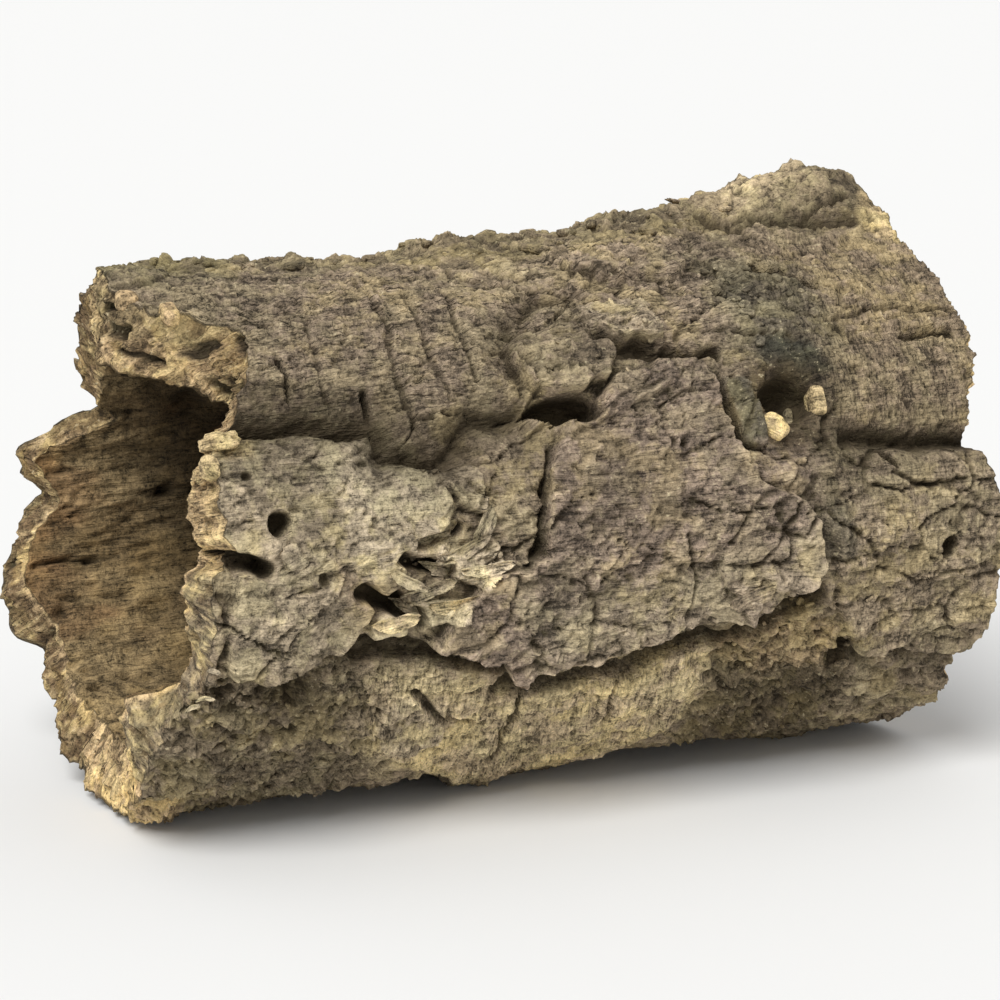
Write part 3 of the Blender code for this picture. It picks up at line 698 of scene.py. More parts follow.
@dataclass
class Looks:
    """What the bark's material needs to know at each point, beside its place.

    tint is the base colour, grain the place along, round and out in millimetres, and the
    others run from 0 to 1, apart from proud, which is in millimetres. hollow lays painted
    shade in crevices, pits and recesses, and proud brightens raised bark as painted light
    and darkens sunk bark as painted shade.
    """

    tint: np.ndarray
    grain: np.ndarray
    proud: np.ndarray
    hollow: np.ndarray
    cut: np.ndarray
    inside: np.ndarray
    lengthwise: np.ndarray
    ringwise: np.ndarray

    @classmethod
    def plain(cls, grain: np.ndarray, tone: Tone) -> "Looks":
        """Makes looks of one tone, with every mask at 0.

        Args:
            grain: Each point's place along, round and out.
            tone: The tone.

        Returns:
            The looks.
        """
        shape = grain.shape[:-1]
        masks = [np.zeros(shape) for _ in range(6)]
        return cls(np.broadcast_to(linear(tone), grain.shape).copy(), grain, *masks)

    @classmethod
    def joined(cls, parts: list["Looks"], axis: int) -> "Looks":
        """Looks that follow each other along an axis, as one."""
        names = [item.name for item in fields(cls)]
        return cls(*(np.concatenate([getattr(p, n) for p in parts], axis) for n in names))

    def columns(self, chosen: np.ndarray) -> "Looks":
        """Picks the looks of some columns.

        Args:
            chosen: The columns' numbers.

        Returns:
            Their looks, point by point in one list.
        """
        result = []
        for item in fields(self):
            values = getattr(self, item.name)[chosen]
            result.append(values.reshape(-1, *values.shape[2:]))
        return Looks(*result)

    def write_to(self, mesh: bpy.types.Mesh) -> None:
        """Stores the looks in a mesh.

        Args:
            mesh: The mesh, whose points take them as attributes.
        """
        for item in fields(self):
            values = getattr(self, item.name)
            if item.name == "tint":
                layer = mesh.attributes.new("tint", "FLOAT_COLOR", "POINT")
                wide = np.concatenate([values, np.ones((len(values), 1))], axis=1)
                layer.data.foreach_set("color", wide.astype(np.float32).ravel())
            elif item.name == "grain":
                layer = mesh.attributes.new("grain", "FLOAT_VECTOR", "POINT")
                layer.data.foreach_set("vector", values.astype(np.float32).ravel())
            else:
                layer = mesh.attributes.new(item.name, "FLOAT", "POINT")
                layer.data.foreach_set("value", values.astype(np.float32).ravel())


def blended(tint: np.ndarray, tone: Tone, weight: np.ndarray) -> np.ndarray:
    """A colour moved towards a tone by a weight."""
    return tint + (linear(tone) - tint) * weight[..., None]


@dataclass(frozen=True)
class Relief:
    """The bark's relief, outside and in the bore."""

    crest: Outline = (
        (-118, -1.0), (-98, 0.0), (-87, 0.0), (-75, -0.5), (-51, -1.0), (-39, -4.5),
        (-27, -2.0), (-14, 1.0), (0, 2.0), (23, 2.5), (36, 5.0), (48, 9.5), (77, 12.0), (86, 16.0),
        (104, 19.5), (114, 18.5), (120, 16.0), (126, 11.0),
    )
    crest_degrees: float = 99.0
    crest_spread: float = 17.0
    warp_x: Noise = Noise(17, (9.0, 9.0, 9.0))
    warp_arc: Noise = Noise(22, (9.0, 9.0, 9.0))
    ragged: Noise = Noise(26, (4.0, 4.0, 4.0))
    lumps: Noise = Noise(3, (31.25, 18.182, 18.182), 3)
    knobs: Noise = Noise(11, (13.0, 9.0, 9.0), 3)
    top_knobs: Noise = Noise(18, (7.0, 7.0, 7.0))
    seams: Noise = Noise(23, (46.0, 17.0, 17.0), 3)
    bore_waves: Noise = Noise(41, (60.0, 16.0, 16.0), 3)
    bore_lumps: Noise = Noise(47, (11.0, 11.0, 11.0))

    flaky: Noise = Noise(61, (4.4, 2.6, 2.6), 3)
    fine_ragged: Noise = Noise(67, (2.6, 2.6, 2.6), 2)
    layer_warp: Noise = Noise(71, (21.0, 12.0, 12.0), 3)
    layers: Noise = Noise(151, (17.0, 9.0, 9.0), 4)
    thin_layers: Noise = Noise(157, (6.5, 4.0, 4.0), 3)
    long_layers: Noise = Noise(161, (15.0, 2.6, 2.6), 3)
    ring_layers: Noise = Noise(167, (2.8, 15.0, 15.0), 3)
    grit: Noise = Noise(173, (1.5, 1.5, 1.5), 2)
    crumbs: Noise = Noise(77, (3.0, 3.0, 3.0), 2)
    pinholes: Noise = Noise(83, (2.2, 2.2, 2.2))
    pocks: Noise = Noise(87, (5.2, 4.0, 4.0), 2)
    bore_grain: Noise = Noise(91, (16.0, 1.9, 1.9), 2)
    bore_pocks: Noise = Noise(95, (4.6, 3.4, 3.4), 2)
    plates: Crackle = Crackle(113, (27.0, 14.0))
    scales: Crackle = Crackle(101, (11.0, 6.0))
    bricks: Crackle = Crackle(105, (5.5, 2.4))
    combs: Crackle = Crackle(109, (1.9, 9.0))

    # Heights and depths, in millimetres
    warp: float = 1.6
    raggedness: float = 0.7
    fine_raggedness: float = 0.3
    lump_rise: float = 1.3
    hidden_lump_rise: float = 0.8
    knob_rise: float = 0.8
    top_knob_rise: float = 2.6
    back_seam_depth: float = 4.0
    layer_rise: float = 1.4
    thin_layer_rise: float = 0.45
    long_layer_rise: float = 0.6
    ring_layer_rise: float = 0.15
    plate_step: float = 2.0
    plate_crack: float = 1.8
    scale_step: float = 1.3
    scale_crack: float = 1.0
    brick_step: float = 0.45
    brick_crack: float = 0.3
    comb_step: float = 0.4
    comb_crack: float = 0.3
    crumb_rise: float = 1.5
    pinhole_depth: float = 0.9
    pock_depth: float = 2.0
    fine_level: float = 0.7
    bore_wave_rise: float = 1.6
    bore_grain_rise: float = 0.5
    bore_flake_rise: float = 0.4
    bore_grit_rise: float = 0.2
    bore_pock_depth: float = 1.6
    bore_layer_rise: float = 1.3
    bore_long_layer_rise: float = 0.9

    # How much of the tint the pieces between cracks gain or lose, and how much painted shade falls
    # in furrows, pits, cracks and seams
    piece_contrast: float = 0.34
    depth_to_hollow: float = 0.14
    gaps_to_hollow: float = 0.4
    seams_to_hollow: float = 0.6

    def skin(self, x: np.ndarray, degrees: np.ndarray) -> tuple[np.ndarray, np.ndarray, Looks]:
        """Works out the outside.

        Args:
            x: Places along the tube.
            degrees: Angles round the tube.

        Returns:
            The main relief, the whole relief, and the looks.
        """
        degrees = unwrapped(degrees)
        spot = round_the_tube(x, degrees)
        ragged = self.raggedness * self.ragged.at(spot)
        wx = x + self.warp * self.warp_x.at(spot)
        arc = degrees * ARC + self.warp * self.warp_arc.at(spot)

        gravel = weight_in(wx, arc, GRAVEL, 5.0) + weight_in(wx, arc, ROUGH, 4.0)
        roll = weight_in(wx, arc, SMOOTH_ROLL, 8.0)
        hidden = smooth_step(112.0, 135.0, degrees)
        main = (self.lump_rise + self.hidden_lump_rise * hidden) * self.lumps.at(spot)
        main += (self.knob_rise - 0.4 * roll + 0.9 * gravel) * self.knobs.at(spot)
        crest = np.interp(x, *np.array(self.crest).T)
        across = np.abs(degrees - self.crest_degrees) / self.crest_spread
        flank = np.where(degrees < self.crest_degrees, 1.0, 0.65)
        main += crest * np.exp(-((flank * across) ** 2.4))
        on_top = np.exp(-(((degrees - 96.0) / 13.0) ** 2))
        main += self.top_knob_rise * on_top * smooth_step(0.15, 0.6, self.top_knobs.at(spot))
        seams = 1.0 - smooth_step(0.0, 0.16, np.abs(self.seams.at(spot)))
        main -= self.back_seam_depth * hidden * seams

        fine_ragged = ragged + self.fine_raggedness * self.fine_ragged.at(spot)
        for plate in PLATES.values():
            plate.add_to(main, wx, arc, fine_ragged)
        depth = np.zeros(x.shape)
        for furrow in FURROWS.values():
            furrow.cut_in(depth, wx, arc, fine_ragged)
        pits = np.zeros(x.shape)
        for lump in LUMPS.values():
            rise = lump.rise * lump.weight(wx, arc)
            main += rise
            pits = np.maximum(pits, -rise)
        main -= depth

        fine, lines, rings, gaps, shade = self.fine_skin(
            x, wx, arc, spot, main, gravel, roll, hidden
        )
        # Painted shade in furrows, pits, fine cracks and the back's seams
        hollow = self.depth_to_hollow * (depth + pits) + self.gaps_to_hollow * gaps
        hollow = np.clip(hollow + self.seams_to_hollow * hidden * seams, 0.0, 1.0)
        grain = np.stack([x, degrees * ARC, main], axis=-1)
        looks = Looks.plain(grain, Tone.BARK)
        for stain in STAINS:
            weight = weight_in(wx, arc, stain.outline, stain.blend)
            looks.tint = blended(looks.tint, stain.tone, stain.strength * weight)
        looks.tint *= shade[..., None]
        looks.hollow, looks.lengthwise, looks.ringwise = hollow, lines, rings
        return main, main + fine, looks

    def fine_skin(
        self,
        x: np.ndarray,
        wx: np.ndarray,
        arc: np.ndarray,
        spot: np.ndarray,
        main: np.ndarray,
        gravel: np.ndarray,
        roll: np.ndarray,
        hidden: np.ndarray,
    ) -> tuple[np.ndarray, np.ndarray, np.ndarray, np.ndarray, np.ndarray]:
        """Adds what is too fine for the solid: flaky layers, cracks, combs, crumbs and pits.

        Args:
            x: Places along the tube.
            wx: The same, warped.
            arc: Warped places round the tube, in millimetres.
            spot: The places on a plain round tube.
            main: The main relief.
            gravel: Where the bark is gravelly.
            roll: Where it is a smooth roll.
            hidden: Where it faces away from the photograph.

        Returns:
            The fine relief, how far it is grained lengthwise and round the tube, how deep
            its cracks are, and how bright each piece between cracks is.
        """
        lobe = weight_in(wx, arc, RIGHT_LOBE, 5.0)
        band = weight_in(wx, arc, BAND, 4.0)
        slab = weight_in(wx, arc, MAIN_SLAB, 3.0)
        low_lobe = weight_in(wx, arc, LOWER_LOBE, 4.0)
        middle = weight_in(wx, arc, UPPER_MIDDLE, 5.0)
        lines = np.clip(0.9 * roll + 0.35 * slab + 0.5 * hidden + 0.8 * middle, 0.0, 1.0)
        rings = np.clip(0.9 * lobe + 0.95 * band + 0.5 * low_lobe + 0.25 * roll, 0.0, 1.0)

        even = np.clip(roll + lobe + band, 0.0, 1.0)
        high = self.layer_rise - 0.5 * even + 0.9 * gravel
        fine = high * stepped(1.5 * self.layers.at(spot))
        high = self.thin_layer_rise - 0.1 * even + 0.9 * gravel
        fine += high * stepped(2.0 * self.thin_layers.at(spot))
        high = self.long_layer_rise + 0.7 * lines
        fine += high * stepped(2.2 * self.long_layers.at(spot))
        high = self.ring_layer_rise + 0.55 * rings
        fine += high * stepped(2.0 * self.ring_layers.at(spot))
        flaky = self.flaky.at(spot)
        fine += (0.13 + 0.5 * gravel) * flaky + (0.08 + 0.32 * gravel) * self.grit.at(spot)

        bend = self.layer_warp.at(spot)
        turn = self.lumps.at(spot)
        border, tone = self.plates.at(wx + 5.0 * bend + flaky, arc + 4.0 * turn + flaky)
        crack = (1.0 - smooth_step(0.015, 0.085, border)) * smooth_step(0.3, 0.6, tone)
        strong = (1.0 - 0.75 * gravel) * (1.0 - 0.5 * even)
        fine += strong * (self.plate_step * (tone - 0.5) - self.plate_crack * crack)
        gaps = 1.3 * strong * crack
        shade = 1.0 + self.piece_contrast * strong * (tone - 0.5)
        border, tone = self.scales.at(wx + 3.0 * turn + flaky, arc + 3.0 * bend + flaky)
        crack = (1.0 - smooth_step(0.0, 0.13, border)) * smooth_step(0.45, 0.8, tone)
        strong = (1.0 - 0.6 * gravel) * (1.0 - 0.6 * even)
        fine += strong * (self.scale_step * (tone - 0.5) - self.scale_crack * crack)
        gaps += 1.1 * strong * crack
        shade += self.piece_contrast * strong * (tone - 0.5)
        border, tone = self.bricks.at(wx + 1.2 * flaky, arc + 0.7 * flaky)
        brick = 1.0 - smooth_step(0.0, 0.25, border)
        fine += lines * (self.brick_step * (tone - 0.5) - self.brick_crack * brick)
        border, tone = self.combs.at(wx + 0.7 * flaky, arc + 2.4 * flaky)
        comb = 1.0 - smooth_step(0.0, 0.25, border)
        fine += rings * (self.comb_step * (tone - 0.5) - self.comb_crack * comb)

        crumbs = smooth_step(0.0, 0.6, self.crumbs.at(spot))
        rough = np.clip(gravel + 0.4 * smooth_step(2.5, 7.0, main), 0.0, 1.4)
        fine += self.crumb_rise * rough * crumbs
        pinholes = smooth_step(0.55, 0.8, self.pinholes.at(spot)) * (0.3 + gravel)
        pocks = smooth_step(0.5, 0.95, self.pocks.at(spot)) * (0.5 + gravel - 0.3 * roll)
        fine -= self.pinhole_depth * pinholes + self.pock_depth * pocks

        depth = np.zeros(x.shape)
        for crack_line in FINE_CRACKS.values():
            crack_line.cut_in(depth, wx, arc, 0.6 * flaky)
        for pit in FINE_PITS.values():
            depth = np.maximum(depth, -pit.rise * pit.weight(x, arc))
        gaps = gaps + 0.8 * pocks + 0.5 * pinholes + depth + 0.3 * lines * brick
        gaps += 0.3 * rings * comb
        return fine - depth - self.fine_level, lines, rings, gaps, shade

    def bore(self, x: np.ndarray, degrees: np.ndarray) -> tuple[np.ndarray, Looks]:
        """Works out the bore's wall.

        Args:
            x: Places along the tube.
            degrees: Angles round the tube.

        Returns:
            The relief, outwards from the smooth wall, and the looks.
        """
        spot = round_the_tube(x, degrees)
        rise = self.bore_wave_rise * self.bore_waves.at(spot) + self.bore_lumps.at(spot)
        grain_rise = self.bore_grain.at(spot)
        pocks = smooth_step(0.35, 0.9, self.bore_pocks.at(spot))
        flaky = self.flaky.at(spot)
        fine = self.bore_grain_rise * grain_rise + self.bore_flake_rise * flaky
        fine += self.bore_pock_depth * pocks + self.bore_grit_rise * self.grit.at(spot)
        fine += self.bore_layer_rise * stepped(2.4 * self.layers.at(spot))
        fine += self.bore_long_layer_rise * stepped(self.long_layers.at(spot))
        arc = unwrapped(degrees) * ARC
        holes = np.zeros(x.shape)
        BORE_CRACK.cut_in(holes, x, arc, 0.5 * flaky)
        for pit in BORE_PITS.values():
            holes = np.maximum(holes, pit.rise * pit.weight(x, arc))
        fine += holes
        grain = np.stack([x, arc, rise], axis=-1)
        looks = Looks.plain(grain, Tone.BORE)
        pale = smooth_step(-0.1, 0.8, self.layer_warp.at(spot))
        looks.tint = blended(looks.tint, Tone.BORE_PALE, 0.9 * pale)
        # Painted shade deeper in the bore, away from the mouth
        near_mouth = 1.0 - smooth_step(-104.0, -62.0, x)
        looks.tint = blended(looks.tint, Tone.BORE_PAINTED_SHADE, 0.9 * (1.0 - near_mouth))
        # Painted light on the lower wall near the mouth
        low = smooth_step(0.1, 0.9, -np.sin(np.radians(degrees)))
        looks.tint = blended(looks.tint, Tone.BORE_PALE, 0.6 * low * near_mouth)
        # Painted shade on the upper wall near the mouth
        upper = smooth_step(-108.0, -88.0, x) * (1.0 - smooth_step(170.0, 196.0, degrees))
        looks.tint = blended(looks.tint, Tone.BORE_PAINTED_SHADE, 0.6 * upper)
        reddish = smooth_step(0.1, 0.7, self.lumps.at(spot))
        looks.tint = blended(looks.tint, Tone.RUST, 0.4 * reddish)
        looks.inside += 1.0
        looks.lengthwise += 0.8
        # Painted shade in pocks, grain grooves and holes
        dark = 0.5 * pocks + 0.2 * smooth_step(0.0, 1.0, -grain_rise) + 0.25 * holes
        looks.hollow = np.clip(dark, 0.0, 1.0)
        return rise + fine, looks


@dataclass(frozen=True)
class Sector:
    """A part of the wall, between two angles, that is one closed mesh."""

    name: str
    start: float
    end: float
    columns: int

    def degrees(self) -> np.ndarray:
        """The angles of its columns, without the last, which is the next part's first."""
        return np.linspace(self.start, self.end, self.columns, endpoint=False)


@dataclass(frozen=True)
class Surface:
    """The finished outside: its points in metres, and their places on the tube."""

    points: np.ndarray
    along: np.ndarray
    degrees: np.ndarray
    tint: np.ndarray

    def nearest(self, place: Place) -> tuple[int, int]:
        """The column and row nearest to a place."""
        column = np.argmin(np.abs((self.degrees - place[1] + 180.0) % 360.0 - 180.0))
        return column, np.argmin(np.abs(self.along[column] - place[0]))

    def at(self, place: Place, turn: float) -> tuple[np.ndarray, np.ndarray]:
        """Finds a place.

        Args:
            place: The place, as x and degrees.
            turn: How far to turn the axes there about the way out, in degrees.

        Returns:
            Its point in metres, and the axes along, across and outwards as rows.
        """
        angle, twist = np.radians(place[1]), np.radians(turn)
        x_axis = np.array([1.0, 0.0, 0.0])
        around = np.array([0.0, np.sin(angle), np.cos(angle)])
        out = np.array([0.0, -np.cos(angle), np.sin(angle)])
        first = x_axis * np.cos(twist) + around * np.sin(twist)
        second = around * np.cos(twist) - x_axis * np.sin(twist)
        return self.points[self.nearest(place)], np.stack([first, second, out])


@dataclass
class Scrap:
    """A small closed body: its points in metres, its faces and its looks."""

    points: np.ndarray
    faces: list[tuple[int, ...]]
    looks: Looks


@dataclass(frozen=True)
class Chunk:
    """A rounded or blocky lump of cork that is stuck in the bark."""

    place: Place
    half_sizes: tuple[float, float, float]
    tone: Tone | None
    turn: float = 0.0
    lift: float = 0.0
    seed: int = 1
    roughness: float = 0.12
    power: float = 0.62
    finesse: int = 4
    shade: float = 1.0

    def scrap(self, surface: Surface) -> Scrap:
        """Makes the lump, set on a surface.

        Args:
            surface: The finished bark that it sits on.

        Returns:
            The lump's body.
        """
        ball = bmesh.new()
        bmesh.ops.create_icosphere(ball, subdivisions=self.finesse, radius=1.0)
        points = np.array([vertex.co[:] for vertex in ball.verts])
        faces = [tuple(vertex.index for vertex in face.verts) for face in ball.faces]
        ball.free()
        shape = np.sign(points) * np.abs(points) ** self.power
        size = np.array(self.half_sizes)
        rough = Noise(self.seed, (2.2, 2.2, 2.2), 4).at(shape * size)
        shape = shape * (size * (1.0 + self.roughness * rough)[:, None])
        shape[:, 2] += self.lift
        origin, axes = surface.at(self.place, self.turn)
        grain = shape + np.array([self.place[0], self.place[1] * ARC, 0.0])
        looks = Looks.plain(grain, self.tone or Tone.BARK)
        if self.tone is None:
            looks.tint = looks.tint * 0.0 + surface.tint[surface.nearest(self.place)]
        looks.tint *= self.shade
        # Painted light on the lump's bumps and painted shade in its dents
        looks.proud += 0.9 * rough
        looks.hollow += np.clip(-0.4 * rough, 0.0, 1.0)
        return Scrap(origin + shape @ axes * METRES, faces, looks)


@dataclass(frozen=True)
class Leaf:
    """A thin flake of bark whose ends and sides curl up."""

    place: Place
    length: float
    width: float
    turn: float
    tone: Tone
    lift: float = 1.0
    curl: float = 1.5
    cup: float = 0.6
    thickness: float = 0.9
    seed: int = 1
    across_count: int = 13
    along_count: int = 25

    def scrap(self, surface: Surface) -> Scrap:
        """Makes the flake, set on a surface.

        Args:
            surface: The finished bark that it sits on.

        Returns:
            The flake's body.
        """
        u, v = np.meshgrid(
            np.linspace(-1.0, 1.0, self.along_count),
            np.linspace(-1.0, 1.0, self.across_count),
            indexing="ij",
        )
        flat = np.stack([u * self.length / 2.0, v * self.width / 2.0, u * 0.0], axis=-1)
        ragged = Noise(self.seed, (2.0, 2.0, 2.0), 3).at(flat + self.seed * 3.7)
        taper = np.sqrt(np.clip(1.0 - np.abs(u) ** 3.0, 0.06, 1.0))
        flat[..., 1] *= taper
        rim = np.maximum(np.abs(u), np.abs(v)) ** 3.0
        flat[..., :2] *= 1.0 + 0.16 * (ragged * rim)[..., None]
        flat[..., 1] += 0.09 * self.length * (u**2 - 0.5)
        height = self.lift + self.curl * np.maximum(u, 0.0) ** 2 + self.cup * v**2
        height = height - 0.5 * self.lift * (u < 0.0) * u**2 + 0.3 * ragged
        half = self.thickness / 2.0 * (1.0 - 0.75 * rim)
        upper = flat + np.stack([u * 0.0, u * 0.0, height + half], axis=-1)
        lower = flat + np.stack([u * 0.0, u * 0.0, height - half], axis=-1)
        shape = np.concatenate([upper.reshape(-1, 3), lower.reshape(-1, 3)])
        index = np.arange(u.size).reshape(u.shape)
        corners = [index[:-1, :-1], index[1:, :-1], index[1:, 1:], index[:-1, 1:]]
        top = np.stack(corners, axis=-1).reshape(-1, 4)
        edge = np.concatenate(
            [index[:-1, 0], index[-1, :-1], index[:0:-1, -1], index[0, :0:-1]]
        )
        after = np.roll(edge, -1)
        sides = np.stack([after, edge, edge + u.size, after + u.size], axis=-1)
        faces = np.concatenate([top, top[:, ::-1] + u.size, sides]).tolist()
        origin, axes = surface.at(self.place, self.turn)
        grain = shape + np.array([self.place[0], self.place[1] * ARC, 0.0])
        looks = Looks.plain(grain, self.tone)
        # Painted light on the flake's top and painted shade on its underside
        looks.proud += np.concatenate([ragged.ravel() * 0.8 + 0.3, ragged.ravel() * 0.0 - 0.6])
        looks.lengthwise += 0.8
        looks.cut += 0.2
        return Scrap(origin + shape @ axes * METRES, faces, looks)


@dataclass(frozen=True)
class Crumbs:
    """Small lumps scattered over an area of the bark."""

    x_range: tuple[float, float]
    degree_range: tuple[float, float]
    size_range: tuple[float, float]
    count: int
    seed: int

    def chunks(self) -> list[Chunk]:
        """The lumps, each with its own place, size, turn and tone."""
        numbers = np.random.default_rng(self.seed).random((self.count, 6))
        result = []
        for index, (a, b, c, d, e, f) in enumerate(numbers):
            x = self.x_range[0] + a * (self.x_range[1] - self.x_range[0])
            degrees = self.degree_range[0] + b * (self.degree_range[1] - self.degree_range[0])
            size = self.size_range[0] + c**2.0 * (self.size_range[1] - self.size_range[0])
            sizes = (size * (1.0 + 0.7 * d), size * (1.0 - 0.3 * d), size * 0.6)
            seed = self.seed + index
            result.append(
                Chunk((x, degrees), sizes, None, 360.0 * f, 0.0, seed, 0.35, 0.6, 2, 0.7 + 0.7 * e)
            )
        return result


@dataclass(frozen=True)
class Scraps:
    """The small pieces on the bark: fragments in the knot hole, curled flakes and crumbs."""

    fragments: tuple[Chunk, ...] = (
        Chunk((70.0, 29.4), (2.0, 4.4, 3.4), Tone.STRAW, -2.0, 0.4, 201, 0.07, 0.34),
        Chunk((54.4, 24.0), (4.4, 3.5, 3.0), Tone.STRAW, -32.0, 1.2, 203, 0.09, 0.85),
        Chunk((60.6, 27.0), (1.6, 4.2, 2.0), Tone.BORE, 32.0, 0.2, 205, 0.1),
        Chunk((63.8, 27.6), (1.3, 3.6, 1.8), Tone.GRAVEL, -10.0, 0.0, 206, 0.1),
        Chunk((-118.0, 69.5), (3.0, 2.8, 2.4), Tone.CUT, 0.0, -0.8, 207),
        Chunk((-112.0, 62.6), (2.2, 3.6, 2.2), Tone.CUT, 8.0, -0.8, 209),
        Chunk((-107.5, 28.8), (4.6, 2.4, 2.6), Tone.STRAW, 6.0, 0.4, 211, 0.3),
        Chunk((-103.0, 31.0), (3.4, 2.0, 2.0), Tone.TAN, 25.0, 0.3, 213, 0.3),
        Chunk((-111.0, 24.5), (2.2, 3.0, 2.0), Tone.STRAW, 0.0, 0.0, 215, 0.3),
        Chunk((-90.0, 6.0), (3.0, 3.4, 2.0), Tone.TAN, 20.0, 0.0, 217, 0.25),
    )
    leaves: tuple[Leaf, ...] = (
        Leaf((-50.0, 7.0), 17.0, 4.0, 14.0, Tone.TAN, 1.4, 2.0, 1.2, 0.8, 221),
        Leaf((-42.0, 4.6), 15.0, 3.8, 24.0, Tone.TAN, 1.4, 2.4, 1.3, 0.8, 223),
        Leaf((-37.0, 1.0), 13.0, 3.6, 6.0, Tone.CREAM, 1.4, 1.6, 1.2, 0.8, 225),
        Leaf((-45.0, 0.4), 17.0, 3.4, -10.0, Tone.TAN, 1.2, 2.2, 1.2, 0.8, 227),
        Leaf((-52.0, -3.0), 15.0, 3.8, 18.0, Tone.TAN, 1.4, 2.6, 1.3, 0.8, 229),
        Leaf((-44.0, -5.4), 17.0, 4.0, 6.0, Tone.BAND, 1.4, 2.0, 1.3, 0.8, 231),
        Leaf((-54.0, -7.4), 14.0, 3.6, -14.0, Tone.TAN, 1.2, 1.8, 1.1, 0.8, 233),
        Leaf((-62.0, -9.6), 12.0, 4.4, 10.0, Tone.BAND, 0.8, 1.6, 1.0, 0.8, 235),
        Leaf((-59.5, 0.5), 11.0, 3.2, -30.0, Tone.TAN, 1.2, 1.8, 1.1, 0.8, 237),
        Leaf((-36.0, 9.0), 10.0, 4.0, 60.0, Tone.TAN, 1.0, 1.2, 0.6, 0.9, 239),
        Leaf((66.0, 99.0), 11.0, 8.0, 160.0, Tone.PLUM, 1.6, 1.2, 0.6, 1.4, 245),
        Leaf((40.0, -9.0), 13.0, 5.0, 20.0, Tone.BARK, 0.8, 0.8, 0.4, 1.0, 251),
        Leaf((-119.0, -14.0), 5.0, 1.4, 150.0, Tone.CREAM, 1.2, 1.6, 0.2, 0.6, 257),
        Leaf((-118.0, -19.0), 5.5, 1.3, 165.0, Tone.CREAM, 1.2, 1.4, 0.2, 0.6, 259),
        Leaf((-118.5, -23.0), 4.5, 1.4, 185.0, Tone.CREAM, 1.2, 1.2, 0.2, 0.6, 261),
    )
    crumbs: tuple[Crumbs, ...] = (
        Crumbs((-116.0, 80.0), (82.0, 110.0), (0.6, 2.2), 130, 301),
        Crumbs((-118.0, -64.0), (-60.0, -18.0), (0.4, 1.5), 220, 603),
        Crumbs((40.0, 84.0), (-58.0, -14.0), (0.4, 1.5), 150, 905),
        Crumbs((-58.0, -32.0), (-12.0, 10.0), (0.4, 1.1), 36, 1207),
        Crumbs((50.0, 84.0), (44.0, 72.0), (0.5, 1.5), 60, 1309),
        Crumbs((-18.0, 30.0), (34.0, 60.0), (0.4, 1.2), 50, 1511),
    )

    def piece(
        self, name: str, scraps: list[Scrap], material: bpy.types.Material
    ) -> bpy.types.Object:
        """Joins small bodies into one piece.

        Args:
            name: The piece's name.
            scraps: The bodies.
            material: The bark's material.

        Returns:
            The piece.
        """
        faces = []
        total = 0
        for scrap in scraps:
            faces += [tuple(total + corner for corner in face) for face in scrap.faces]
            total += len(scrap.points)
        mesh = bpy.data.meshes.new(name)
        mesh.from_pydata(np.concatenate([scrap.points for scrap in scraps]), [], faces)
        mesh.polygons.foreach_set("use_smooth", np.ones(len(faces), bool))
        Looks.joined([scrap.looks for scrap in scraps], 0).write_to(mesh)
        return placed(name, mesh, material)

    def build(self, surface: Surface, material: bpy.types.Material) -> list:
        """Builds the fragments, the flakes and the crumbs.

        Args:
            surface: The finished bark that they sit on.
            material: The bark's material.

        Returns:
            The three pieces' objects.
        """
        loose = [chunk for area in self.crumbs for chunk in area.chunks()]
        groups = {
            "knot_fragments": self.fragments,
            "curled_flakes": self.leaves,
            "crust_crumbs": loose,
        }
        return [
            self.piece(name, [part.scrap(surface) for part in parts], material)
            for name, parts in groups.items()
        ]


